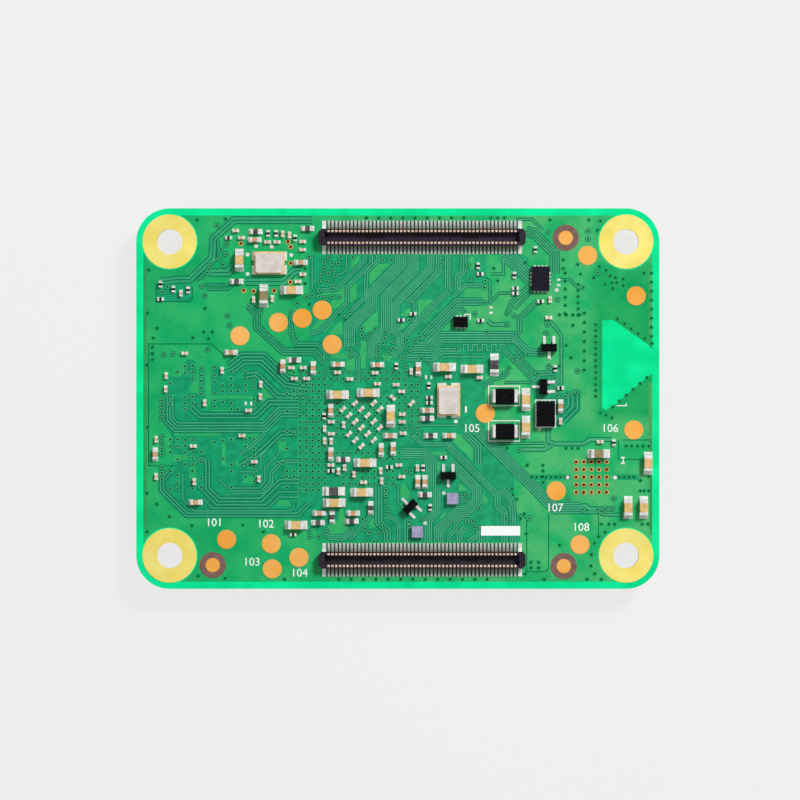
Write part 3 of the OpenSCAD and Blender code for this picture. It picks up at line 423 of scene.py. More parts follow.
def soften(names, width):
    """Rounds the sharp edges of CAD nodes by modifiers, which leave their meshes as they are."""
    for name in names:
        join = nodes[name].modifiers.new("join", "WELD")
        join.merge_threshold = WELD_REACH * MM
        bevel = nodes[name].modifiers.new("soft_edges", "BEVEL")
        bevel.width = width * MM
        bevel.segments = 2
        bevel.limit_method = "ANGLE"
        bevel.angle_limit = math.radians(SHARP_DEG)


soften(["inductor_cores"], width=0.16)
soften(["large_capacitor_bodies", "large_resistor_bodies"], width=0.05)
soften(["large_capacitor_ends", "large_resistor_ends", "inductor_terminals", "crystal_bases"], width=0.05)
soften(["medium_capacitor_bodies", "medium_capacitor_ends", "medium_resistor_ends"], width=0.04)
soften(["small_capacitor_bodies", "small_capacitor_ends", "small_resistor_ends"], width=0.03)
soften(["transistor_bodies", "logic_chip", "interface_chip"], width=0.03)
soften(["converter_chip", "chip_scale_dies"], width=0.03)
soften(["connector_a_housing", "connector_b_housing"], width=0.03)


def circle(place, r, sides):
    turns = [2 * math.pi * i / sides for i in range(sides)]
    return [(place[0] + r * math.cos(t), place[1] + r * math.sin(t)) for t in turns]


def arc(centre, r, start_deg, end_deg, steps):
    turns = [math.radians(start_deg + (end_deg - start_deg) * i / steps) for i in range(steps + 1)]
    return [(centre[0] + r * math.cos(t), centre[1] + r * math.sin(t)) for t in turns]


def rectangle(x0, y0, x1, y1):
    return [(x0, y0), (x1, y0), (x1, y1), (x0, y1)]


def row_of(start, step, count):
    return [(start[0] + step[0] * i, start[1] + step[1] * i) for i in range(count)]


def grid_of(start, pitch_x, columns, pitch_y, rows):
    return [(start[0] + pitch_x * i, start[1] - pitch_y * j) for i in range(columns) for j in range(rows)]


MITRE_LIMIT = 0.4


def offset(path, shift):
    """The path moved to its left by shift, with mitred corners."""
    moved = []
    for i, (x, y) in enumerate(path):
        before = path[max(i - 1, 0)]
        after = path[min(i + 1, len(path) - 1)]
        arriving = Vector((x - before[0], y - before[1]))
        leaving = Vector((after[0] - x, after[1] - y))
        if i == 0:
            arriving = leaving
        if i == len(path) - 1:
            leaving = arriving
        normals = [Vector((-d.y, d.x)).normalized() for d in (arriving, leaving)]
        middle = (normals[0] + normals[1]).normalized()
        reach = shift / max(MITRE_LIMIT, middle.dot(normals[0]))
        moved.append((x + middle.x * reach, y + middle.y * reach))
    return moved


class Sheet:
    """Thin closed plates on one face of the board, made into one piece.

    A plate lies a hair above those it may overlap, so no two faces share a plane."""

    def __init__(self, name, skin, height, slot, under=False):
        self.name = name
        self.skin = skin
        self.slot = slot
        self.mesh = bmesh.new()
        self.boxes = []
        self.out = -1 if under else 1
        self.face_z = UNDER_Z if under else TOP_Z
        self.height = height

    def level(self, outline):
        xs = [x for x, y in outline]
        ys = [y for x, y in outline]
        box = (min(xs), max(xs), min(ys), max(ys))
        taken = set()
        for other, number in self.boxes:
            apart = box[0] > other[1] or other[0] > box[1] or box[2] > other[3] or other[2] > box[3]
            if not apart:
                taken.add(number)
        number = next(n for n in itertools.count() if n not in taken)
        self.boxes.append((box, number))
        return number

    def rings(self, number, *outlines):
        """The outlines' points on the sunk plane and on the upper plane of that level."""
        high = self.height + number * LEVEL_STEP
        planes = [self.face_z - self.out * SINK * MM, self.face_z + self.out * high * MM]
        return [
            [[self.mesh.verts.new((x * MM, y * MM, z)) for x, y in line] for z in planes]
            for line in outlines
        ]

    def plate(self, outline, number=None):
        """Adds a plate on the given level, or else on the lowest free one, and returns the level."""
        if number is None:
            number = self.level(outline)
        low, high = self.rings(number, outline)[0]
        self.mesh.faces.new(high)
        self.mesh.faces.new(low[::-1])
        for i in range(len(outline)):
            self.mesh.faces.new((low[i - 1], low[i], high[i], high[i - 1]))
        return number

    def frame(self, outer, inner):
        (outer_low, outer_high), (inner_low, inner_high) = self.rings(self.level(outer), outer, inner)
        for i in range(len(outer)):
            self.mesh.faces.new((outer_high[i - 1], outer_high[i], inner_high[i], inner_high[i - 1]))
            self.mesh.faces.new((outer_low[i - 1], inner_low[i - 1], inner_low[i], outer_low[i]))
            self.mesh.faces.new((outer_low[i - 1], outer_low[i], outer_high[i], outer_high[i - 1]))
            self.mesh.faces.new((inner_low[i - 1], inner_high[i - 1], inner_high[i], inner_low[i]))

    def ribbon(self, path, width, shift=0.0, number=None):
        return self.plate(offset(path, shift - width / 2) + offset(path, shift + width / 2)[::-1], number)

    def disc(self, place, d, sides=14):
        self.plate(circle(place, d / 2, sides))

    def loop(self, place, outer_d, inner_d, sides=24):
        self.frame(circle(place, outer_d / 2, sides), circle(place, inner_d / 2, sides))

    def done(self):
        bmesh.ops.recalc_face_normals(self.mesh, faces=self.mesh.faces)
        data = bpy.data.meshes.new(self.name)
        self.mesh.to_mesh(data)
        self.mesh.free()
        data.materials.append(self.skin)
        piece = bpy.data.objects.new(self.name, data)
        scene.collection.objects.link(piece)
        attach(piece, "root")


# The copper stops short of the board's edge and of the corner rings, and leaves a niche for the antenna
EDGE_BAND = 0.75
RING_MARGIN = 0.12
RING_CLEAR = RING_R + RING_MARGIN
NICHE = [
    (26.75, 5.15), (26.4, 5.6), (22.6, 8.3), (21.5, 8.2), (21.5, -1), (21.9, -1.2),
    (22.9, -0.6), (24.4, 0.7), (26.3, 2.3), (26.75, 2.6),
]


def field_outline():
    """The board's outline moved in by the bare edge, hollowed round each corner ring."""
    far_x = HALF_L - EDGE_BAND
    far_y = HALF_W - EDGE_BAND
    from_y = 180 - math.degrees(math.asin((far_y - HOLE_Y) / RING_CLEAR))
    to_x = 270 + math.degrees(math.asin((far_x - HOLE_X) / RING_CLEAR))
    hollow = arc((HOLE_X, HOLE_Y), RING_CLEAR, from_y, to_x, steps=24)
    outline = hollow + NICHE
    outline += [(x, -y) for x, y in hollow[::-1]]
    outline += [(-x, -y) for x, y in hollow]
    outline += [(-x, y) for x, y in hollow[::-1]]
    return outline


def copper_fields():
    """Plain copper over the whole of both faces."""
    for name, under in (("upper_copper", False), ("lower_copper", True)):
        field = Sheet(name, FIELD, FIELD_H, "board", under)
        field.plate(field_outline())
        field.done()


# Areas that are mostly filled with traces, and so look darker than plain copper
ROUTING_AREAS = [
    [(-9.4, 15.1), (9.3, 15.1), (9.3, 11.9), (7, 11.9), (6.9, 10.4), (4.3, 7.05), (12.2, 7.05),
     (13.3, 6),
     (13.3, 4.3), (11.2, 4.3), (9.2, 2.4), (9.2, -4.2), (12.2, -7.3), (12.2, -11.7), (12.9, -12.3),
     (12.9, -15.1), (-7, -15.1), (-8.9, -13.6), (-10.4, -12.8), (-10.4, 4.6), (-9.3, 5.8)],
    [(-24.3, -1), (-24.2, 2.3), (-22.9, 2.3), (-22.4, 2.9), (-22.4, 3.8), (-22.1, 4.1), (-21.5, 4.1),
     (-21.2, 3.8), (-21.2, 2), (-21.9, 1.2), (-22.1, 0.6), (-21.2, 0.6), (-20.95, 0.3), (-20.95, 3.3),
     (-20.75, 3.5), (-20.4, 3.5), (-20.25, 3.3), (-20.25, -1.1), (-19.65, -1.1), (-19.65, 3.3),
     (-19.4, 3.6), (-18.9, 3.5), (-18.7, 3), (-18, 3.2), (-17.3, 3.3), (-16.6, 4.6),
     (-14, 4.6), (-12, 2.6), (-10.5, 2.4), (-10.5, -12.6), (-22.3, -12.6), (-25.1, -9.9),
    (-25.1, -8.4),
     (-23.8, -7.1), (-23.8, -3.9), (-24.4, -3)],
    [(13.6, -7.95), (18.2, -7.95), (18.2, -8.55), (15.6, -8.55), (15.6, -9.5), (14.9, -9.5),
     (14.9, -8.55),
     (13.6, -8.55)],
    [(22.7, -7.95), (25.3, -7.95), (25.3, -8.55), (22.7, -8.55)],
    [(-25.4, 10.25), (-21.9, 10.25), (-21.65, 10.5), (-21.65, 11.9), (-25.4, 12)],
    [(12.1, 12.6), (13.7, 12.6), (13.7, 14.8), (12.5, 15.6), (11.2, 15.6), (12.1, 14.2)],
    [(14, 2.3), (14.6, 2.8), (15.8, 2.9), (16.3, 3.4), (16.9, 3.4), (16.9, 0.7), (16.6, -0.1),
     (14.3, -0.1), (14, 1.5)],
    [(16.6, 0.6), (17.9, 0.6), (18.5, 1), (19, 1), (19.2, 0.8), (19.2, -1.1), (17.4, -2.9),
     (16.6, -2.9)],
]
# Islands of plain copper left between the traces
ISLANDS = [
    [(-4.9, 14.9), (-4, 15), (-3.9, 14.6), (-4.9, 13.6)],
    [(-2, 14.2), (-0.8, 14.2), (-1.4, 13.6), (-2.9, 12), (-3.1, 12.2), (-3.1, 13.4)],
    [(-5.6, 12.1), (-6.5, 11.2), (-8, 11.2), (-8, 10.9), (-6.2, 10.9), (-6.2, 10.4), (-7, 10.3),
     (-7, 9.5), (-6.1, 9.5), (-5.6, 10.1)],
    [(-8.4, 8.2), (-7, 8.3), (-6.7, 7.9), (-7.7, 7), (-8.9, 6.9), (-9, 7.3)],
    [(-6.1, 8.1), (-5.8, 7.8), (-5.8, 6.7), (-7.2, 6.8), (-7, 7.1)],
    [(-2.1, 9.1), (-2.1, 7.6), (-2.7, 7.1), (-3.6, 7), (-4, 7.5), (-2.6, 8.9)],
    [(-3.8, 10.4), (-3.8, 9.9), (-4.7, 9.2), (-5, 9.3)],
    [(-3.9, 6.1), (-3.1, 6.1), (-3.1, 4.7), (-3.4, 4.3), (-3.4, 3.2), (-4, 3.2)],
    [(-5.4, 5.5), (-5.2, 5.5), (-4.5, 4.8), (-4.5, 3), (-5.4, 3)],
    [(-5, 12.3), (-4.4, 12.7), (-4.3, 10.6), (-5, 10)],
    [(-2.3, 11), (-2.05, 10.8), (-2.05, 9.2), (-2.3, 9.2)],
    [(-0.5, 10.3), (0.3, 11.1), (0.6, 10.9), (-0.4, 9.9)],
    [(-6.9, 4.8), (-5.8, 4.8), (-5.2, 4.2), (-6.9, 4.2)],
    [(0.2, 7.9), (1.1, 7.9), (0.2, 7)],
    [(-1.7, 4.6), (-0.3, 4.6), (-0.9, 4), (-1.4, 4)],
    [(0.2, 8.7), (1, 9.5), (1.3, 9.5), (1.3, 8.7)],
    [(2.1, 10.4), (3.7, 10.4), (3.7, 9.5), (4.2, 9.4), (2.8, 8), (2.1, 7.9)],
    [(6.1, 12.5), (7, 12.5), (6.1, 11.7)],
    [(7.5, 14.9), (8, 14.9), (8, 13.6), (7.5, 13.6)],
    [(6.1, -3.7), (6.9, -3.9), (7.9, -4.8), (7.9, -6.6), (5.8, -4.4)],
    [(3.3, -5.6), (5.1, -5.6), (5.1, -5.9), (3.6, -5.9)],
    [(3.8, -6.5), (4.4, -6.6), (4.4, -7.6), (4, -7.6)],
    [(6.4, -8.9), (6.7, -9), (7.3, -9.6), (6.4, -9.8)],
    [(8.9, -10), (9.4, -10.5), (9.4, -11), (8.9, -11)],
    [(4.8, -12), (5.8, -12), (5, -12.7), (4.4, -12.6)],
    [(4.6, -12.9), (4.9, -13), (3.7, -14.1), (3.6, -13.8)],
    [(0.3, -9.2), (0.7, -9), (1.3, -9.9), (1.2, -10.6), (0.3, -10.3)],
    [(-2.9, -12.6), (-2.5, -12.6), (-2.4, -13.5), (-2.9, -13.6)],
    [(-6.1, -11.5), (-5.8, -11.5), (-5.2, -13.7), (-5.4, -14.2), (-7, -14.2), (-7.5, -13.5),
     (-6.3, -12.8)],
    [(-19.7, 0.3), (-15.2, 0.3), (-15.2, 0), (-19.7, 0)],
    [(-19.6, -1.2), (-17.9, -1.2), (-17.9, -1.8), (-19.3, -1.8)],
    [(-14.2, 1.4), (-12.9, 0.1), (-13.9, -0.9), (-14.7, -1.7), (-15, -1.6), (-14.3, -0.4)],
    [(-23.5, -3.5), (-18.6, -3.5), (-18.6, -3.9), (-23.5, -3.9)],
    [(-23.7, -5.9), (-22, -5.9), (-22.2, -6.4), (-23.7, -6.7)],
    [(-16, -3.7), (-14.4, -3.7), (-14.6, -4), (-16, -4)],
    [(-12.5, -4.6), (-11.7, -4.6), (-11.6, -5.5), (-12.5, -5.5)],
    [(-16.4, -8.9), (-15.2, -8.9), (-15.2, -8.3), (-15.9, -8.1)],
    [(-18.5, -4.7), (-18.1, -4.7), (-18.1, -7), (-18.5, -7)],
    [(-17.2, -6.75), (-16.35, -6.75), (-16.35, -7.1), (-17, -7.1)],
    [(-21.95, -7.2), (-21.2, -7.2), (-21.2, -8.4), (-21.95, -8.4)],
    [(-12.6, -10.7), (-11.5, -10.7), (-11.2, -11.3), (-12.6, -11.3)],
]


def copper_areas():
    """Darker areas for the routing, and the islands of plain copper within them."""
    for name, skin, height, outlines in (
        ("routing_areas", ROUTING, AREA_H, ROUTING_AREAS),
        ("copper_islands", ISLAND, ISLAND_H, ISLANDS),
    ):
        areas = Sheet(name, skin, height, "board")
        for outline in outlines:
            areas.plate(outline)
        areas.done()


# Runs of parallel traces, as (path, number of traces, pitch)
FINE = 0.25
WIDE = 0.4
TRACE_GAP = 0.1
LINE_W = 0.105
CUT_W = 0.1
# Runs through plain copper: each trace lies between narrow cuts
CUT_RUNS = [
    ([(-9, 18.75), (-17.2, 18.75), (-19.4, 16.8), (-19.5, 14.8), (-21.9, 12.5), (-23.2, 12.5),
      (-25, 12.3)], 2, 0.36),
    ([(-18.9, 16.6), (-18.9, 14.9), (-21.2, 12.3)], 1, FINE),
    ([(-19.9, 13.25), (-17.8, 13.25), (-17.2, 14)], 2, WIDE),
    ([(-20.4, 11.95), (-17.9, 11.95), (-17.3, 12.4)], 1, FINE),
    ([(-20.1, 11.5), (-17.9, 11.5), (-17.4, 11.9)], 1, FINE),
    ([(-16, 12.3), (-12, 12.3), (-10.9, 13.4), (-10.2, 13.5)], 2, WIDE),
    ([(-15.6, 9.7), (-14.8, 8.9), (-14.8, 7.5), (-12, 4.95), (-8.8, 4.95), (-7.6, 3.7)], 3, 0.26),
    ([(-11.1, 9.3), (-11.3, 8), (-11, 6.4), (-10.6, 5.7), (-8.4, 5.7), (-7.6, 5),
      (-7.6, 4.2)], 2, FINE),
    ([(9.2, 12.7), (9.7, 12.2), (9.7, 9.9)], 1, FINE),
    ([(13.5, 17.6), (14.3, 17.4), (16.5, 15.2), (16.5, 13.2)], 4, FINE),
    ([(12.4, 18.85), (14.1, 18.85), (15.3, 17.7)], 1, FINE),
    ([(9.8, 13.1), (11.1, 13.1), (11.1, 14.7)], 1, FINE),
    ([(13.9, 11.9), (12, 10.1), (11.6, 9.1)], 2, FINE),
    ([(14, 11.2), (12.3, 9.4)], 1, FINE),
    ([(14.7, 10.2), (12.8, 8.5), (12.8, 6.8)], 2, FINE),
    ([(9.6, 10), (10.7, 11.1), (12.2, 11.1)], 1, FINE),
    ([(9.4, 8.2), (9.9, 7.8), (11.4, 7.8)], 1, WIDE),
    ([(17.1, 12.5), (18.1, 12.5), (18.9, 11.7), (19.4, 11.7)], 1, FINE),
    ([(16, 8.2), (17.2, 6.6), (17.2, 1.4)], 1, 0.3),
    ([(12.3, 5.3), (13, 4.6), (13, 4.2), (14.5, 2.7)], 1, FINE),
    ([(11.2, 5.1), (14.2, 2.1)], 2, FINE),
    ([(11.6, 2.9), (11.1, 2.35), (10, 2.1), (9.2, 1.3)], 2, FINE),
    ([(11.2, 1.7), (14, 1.7)], 1, FINE),
    ([(19.2, -11.3), (19.8, -11.3), (20.2, -11.6), (22.8, -11.6)], 1, 0.45),
    ([(19.2, -11.95), (21.2, -11.95), (21.6, -12.2), (23.4, -12.2)], 1, 0.3),
    ([(15.8, -3.1), (15.8, -4.5), (16.6, -4.75), (19.5, -4.75), (20.2, -4.3), (22.5, -4.3)], 1, WIDE),
    ([(13, -5.35), (15.4, -5.35), (16.2, -4.9)], 1, WIDE),
    ([(9.7, -4.7), (15.5, -4.7)], 1, FINE),
]
# Runs through routing areas: thin lines of copper on bare ground
LINE_RUNS = [
    ([(-17.6, 3.2), (-16.3, 4.2), (-14.2, 4.2), (-11.7, 1.8), (-9.2, 1.5)], 4, 0.36),
    ([(-16.2, 2.4), (-14.9, 2.6), (-12.6, 0.3), (-9.8, 0.3)], 2, WIDE),
    ([(-9, 15), (-9, 11.5)], 1, FINE),
    ([(-5.4, 15.1), (-5.4, 13.6), (-5.9, 13.1), (-6.6, 13.1)], 1, FINE),
    ([(-3.5, 15.1), (-3.5, 14.5), (-6.5, 11.5), (-8.1, 11.4)], 2, FINE),
    ([(-2.8, 15.1), (-2.8, 14.2), (-5.3, 11.7), (-5.3, 10.1), (-8.1, 7.2), (-9.2, 6.8)], 2, FINE),
    ([(-2.1, 15.1), (-2.1, 14.5), (-3.3, 13.3), (-3.4, 10.7), (-5.6, 8.5)], 2, FINE),
    ([(0.3, 15.1), (0.3, 14.1), (-2.8, 11), (-2.8, 9.7), (-5.1, 7.6), (-5.1, 5.5)], 6, 0.21),
    ([(-5.4, 5.5), (-4.5, 4.6), (-4.2, 4.3), (-4.2, 1.6)], 2, FINE),
    ([(1.6, 15.1), (1.6, 13.5), (-1.2, 10.7), (-1.2, 7.2), (-2.6, 5.9), (-2.6, 4.2)], 6, 0.21),
    ([(3.45, 15.1), (3.45, 13.7), (-0.2, 10), (-0.2, 7), (0.25, 6.5), (0.25, 5.3),
      (-0.6, 4.4)], 4, 0.21),
    ([(4.3, 15.1), (4.3, 13.3), (1, 10)], 3, 0.24),
    ([(1.8, 10.3), (1.8, 7.9), (0.7, 6.8)], 2, FINE),
    ([(5.25, 15.1), (5.25, 11.2), (4.4, 10.4), (1.8, 7.8), (0.6, 6.5)], 3, 0.24),
    ([(8.95, 10.2), (6.2, 10.2), (2.4, 6.45)], 3, 0.27),
    ([(6.95, 9.55), (6.45, 9.55), (2.9, 5.95)], 2, 0.27),
    ([(12.4, 6.45), (4.55, 6.45), (3.45, 5.35), (1.6, 5.35)], 5, FINE),
    ([(6.6, 5), (4.5, 5), (3.8, 4.3), (0.9, 4.3)], 3, FINE),
    ([(9, 4.4), (4.9, 4.4), (4.4, 3.9)], 1, FINE),
    ([(8.95, 11.9), (7, 11.9), (5.9, 10.8)], 2, FINE),
    ([(6.9, 15.1), (6.9, 13.4), (6.3, 12.8), (6.3, 11.4)], 3, FINE),
    ([(11, 15.2), (11.8, 14.8), (14.1, 12.6)], 6, FINE),
    ([(12.2, 6.3), (13.7, 4.9), (15.3, 4.8)], 3, FINE),
    ([(-24.1, 0.2), (-24.1, -2.2), (-23.3, -3), (-14, -3), (-12.4, -1.4), (-10.5, -1.4)], 4, 0.3),
    ([(-21.7, -0.9), (-20.8, -1.8), (-14.9, -1.8), (-13.5, -0.4), (-10.5, -0.4)], 2, WIDE),
    ([(-24, -7.7), (-24.8, -8.6), (-24.8, -9.6), (-22.2, -12.2), (-10.5, -12.2),
      (-9.3, -11)], 2, 0.32),
    ([(-22.6, -8), (-22.6, -10.6), (-21.4, -11.8), (-11.3, -11.8), (-10.9, -11.4),
      (-10.9, -10.8)], 1, 0.32),
    ([(-20.4, -10.6), (-19.5, -11.5), (-13.6, -11.5), (-12.5, -10.35), (-10.5, -10.35)], 1, 0.3),
    ([(-21, -9.2), (-19.1, -11.15), (-13.9, -11.15), (-12.5, -9.8), (-10.5, -9.8)], 1, 0.36),
    ([(-20, -6.5), (-20, -9.45), (-18.8, -10.65), (-14.4, -10.65), (-12.4, -8.7),
      (-10.4, -8.7)], 2, 0.36),
    ([(-21.3, -6.8), (-20.8, -6.25), (-20.45, -6.25), (-20.2, -6.5)], 1, FINE),
    ([(-18.9, -8.4), (-17.9, -9.4), (-17.3, -9.4)], 1, FINE),
    ([(-17.5, -9.85), (-14.3, -9.85), (-13.3, -8.8), (-13.3, -7.8), (-12.2, -6.6),
      (-10.4, -6.6)], 2, 0.26),
    ([(-17.3, -9.4), (-14.6, -9.4), (-14, -8.8), (-14, -7.3), (-12.4, -5.7)], 1, FINE),
    ([(-16.6, -7.7), (-14.9, -7.7), (-14.4, -7.1), (-14.4, -6), (-13.6, -5.2)], 1, FINE),
    ([(-16.5, -7.1), (-15, -6.1), (-12.3, -3.6), (-10.6, -3.6)], 2, WIDE),
    ([(-16.6, -5.9), (-14.6, -4.3), (-13.9, -3.6)], 2, FINE),
    ([(0.4, -5.75), (2.6, -5.75), (3.5, -6.65), (3.5, -9.2)], 5, 0.23),
    ([(1.4, -3.7), (2.5, -4.8), (5.6, -4.8)], 2, FINE),
    ([(2.1, -2.8), (6.4, -2.8)], 1, FINE),
    ([(7, -3.6), (8.45, -5), (8.45, -6.9)], 3, 0.28),
    ([(5.3, -4.95), (10.5, -10.15), (10.5, -11.2), (11.2, -12), (11.2, -15.1)], 3, 0.26),
    ([(5.5, -6.7), (8.3, -9.5), (8.3, -10.8), (7.4, -11.7), (6.3, -11.8), (4.3, -13.8),
      (4.3, -15.1)], 5, 0.22),
    ([(6.4, -10.45), (7.3, -10.45)], 4, FINE),
    ([(4.1, -9.4), (4.1, -11.9), (3.2, -12.8), (3.2, -15.1)], 4, 0.22),
    ([(1, -12.6), (1, -15.1)], 3, FINE),
    ([(0.05, -9.1), (0.05, -10.9), (0.6, -11.5)], 1, FINE),
    ([(-2, -9.2), (-2, -13), (-1.1, -13.9), (-1.1, -15.1)], 3, 0.3),
    ([(-1.3, -12.4), (-0.4, -12.6), (0.1, -13.2), (0.1, -15.1)], 2, FINE),
    ([(7.1, -13.6), (6.5, -14.2), (6.5, -15.1)], 3, FINE),
    ([(5.4, -15.1), (5.4, -14.4), (6.1, -13.7), (6.1, -13.1), (6.7, -12.5), (7.6, -12.5)], 2, FINE),
    ([(7.4, -15.1), (8.6, -14.1)], 2, FINE),
    ([(-2.9, -12.4), (-3.9, -13.6), (-5, -14.7)], 2, FINE),
    ([(-7.9, -13.8), (-7.1, -14.6), (-5.7, -14.6), (-4.8, -13.7)], 3, 0.22),
    ([(11, -9.6), (11.9, -10.6), (12.1, -12), (12.1, -15.1)], 3, FINE),
    ([(8.7, -13.4), (8.7, -15.1)], 4, FINE),
    ([(8.3, -3.3), (15.9, -10.9), (16.6, -11.5), (19.2, -11.5)], 5, 0.24),
    ([(14.2, 1.8), (15, 2.6), (15.9, 2.7), (16.4, 3.2)], 2, 0.28),
    ([(16, 1), (16.9, 1.9)], 2, FINE),
    ([(18.4, 0.8), (18.4, -0.9), (17.2, -2.1)], 3, 0.48),
]
# Single cuts that part one area of copper from the next
CUTS = [
    [(-18.3, 4.6), (-19.6, 5.75), (-26.2, 5.75), (-26.2, -7.05), (-23.7, -7.05), (-24.8, -8.2)],
    [(-25.4, 12.1), (-25.4, 10.2), (-21.9, 10.2), (-21.6, 10.5), (-21.6, 11.8)],
    [(15.85, -12.1), (15.85, -17.9), (15.5, -18.2), (13.55, -18.2), (13.55, -12.7), (12.8, -12)],
    [(21.1, -12.3), (21.1, -14.4)],
    [(26.62, -4.4), (26.62, -14.3)],
    [(23.2, -4.4), (23.2, -6.4), (25.6, -6.4)],
    [(23.6, -4.35), (26.6, -4.35)],
]
# Winding traces, as (start, step, height, steps)
SERPENTINES = [((6.9, 5.05), 0.49, 0.62, 9)]


def serpentine(start, step, height, count):
    """A trace that goes up and down as it advances, to match lengths."""
    points = [start]
    for i in range(count):
        x = start[0] + step * i
        rise = height if i % 2 == 0 else 0
        points += [(x, start[1] + rise), (x + step, start[1] + rise)]
    return points


def traces():
    """Traces between narrow cuts through plain copper, and the single cuts."""
    channels = Sheet("trace_channels", CHANNEL, CHANNEL_H, "board")
    strips = Sheet("traces", TRACE, TRACE_H, "board")
    for path, count, pitch in CUT_RUNS:
        number = channels.ribbon(path, count * pitch + TRACE_GAP)
        for i in range(count):
            strips.ribbon(path, pitch - TRACE_GAP, (i - (count - 1) / 2) * pitch, number)
    for path in CUTS:
        channels.ribbon(path, CUT_W)
    channels.done()
    strips.done()


def routing_lines():
    """Thin lines on the bare ground of the routing areas."""
    grounds = Sheet("routing_grounds", GROUND, GROUND_H, "board")
    lines = Sheet("routing_lines", LINE, LINE_H, "board")
    winding = [(serpentine(*values), 1, FINE) for values in SERPENTINES]
    for path, count, pitch in LINE_RUNS + winding:
        number = grounds.ribbon(path, count * pitch + TRACE_GAP)
        for i in range(count):
            lines.ribbon(path, LINE_W, (i - (count - 1) / 2) * pitch, number)
    grounds.done()
    lines.done()


RAIL_INSET = 0.19
RAIL_W = 0.34
RAIL_END = 13.7
RAIL_BREAK = (6.2, 1.7)


def edge_rails():
    """A rail of copper just inside the bare edge on the two short sides, broken at the antenna."""
    rails = Sheet("edge_rails", RAIL, RAIL_H, "board")
    x = HALF_L - EDGE_BAND - RAIL_INSET
    rails.ribbon([(-x, RAIL_END), (-x, -RAIL_END)], RAIL_W)
    rails.ribbon([(x, RAIL_END), (x, RAIL_BREAK[0])], RAIL_W)
    rails.ribbon([(x, RAIL_BREAK[1]), (x, -RAIL_END)], RAIL_W)
    rails.done()


# Vias under the mask: lone ones in plain copper, and ringed ones with a land and a cleared ring
LONE_VIAS = [
    (-21.1, 18.8), (-18.1, 18.85), (-20.25, 9.5), (-25.3, 7.4), (-25.7, 6.35), (-20.4, 7), (-19.5, 7),
    (-19.9, 6.3), (-21.55, 6.4), (-26.3, 9), (-26.2, 13.5), (-26.4, 3.5), (-26.3, -3),
    (-26.35, -9.95),
    (-25.35, -11.1), (-24, -12.4), (-26.35, -14), (-21.65, -13.35), (-16.3, -13.3), (-14.1, -14),
    (-21, -18.65), (-18.15, -18.9), (-11.9, -19), (16, 18.8), (20.1, 18.8), (21.3, 18.7),
    (21, 17.7),
    (25.9, 13.2), (17, 3.4), (17.7, 5.6), (18.2, 4.3), (18.4, 7.7), (17.4, 14.6), (17.4, 13.7),
    (13.4, 14.3), (10.5, 12.4), (10.1, 13.7), (11.5, -5.2), (13.6, -7), (12.1, -10.1),
    (12.5, -10.6), (12, -9.5), (17, -15.4), (20.7, -15.2), (20.35, -16.4), (20.3, -17.6),
    (20.7, -18.4),
    (19.9, -19), (15.4, -19), (13.4, -18.4), (21.4, -13.2), (22.2, -13.2), (22.8, -13.2),
    (21.8, -14),
    (21.1, -14.5), (25.7, -13.2), (26.3, -13.2), (25.5, -9.7), (25.9, -9.7), (26.4, -9.7), (25.5, -8.6),
    (26.4, -8.2), (18.9, 14.1), (19.2, 13.1),
    (20.6, 12.7), (21.2, 13.9), (21.9, 13.5), (22.3, 12.9), (22.9, 12.7), (22.5, 12.2), (22.6, 11.6),
    (23, 12.2), (23.7, 12.6), (23.7, 11.9), (21.8, 12), (21.4, -19), (13.5, -14.2), (12.9, -12.6),
    (13.3, -12.1), (-9.3, 9.9), (-9.75, 13.65), (-9.75, 12.1), (-6.2, 8.8), (-5.5, 8.3),
]
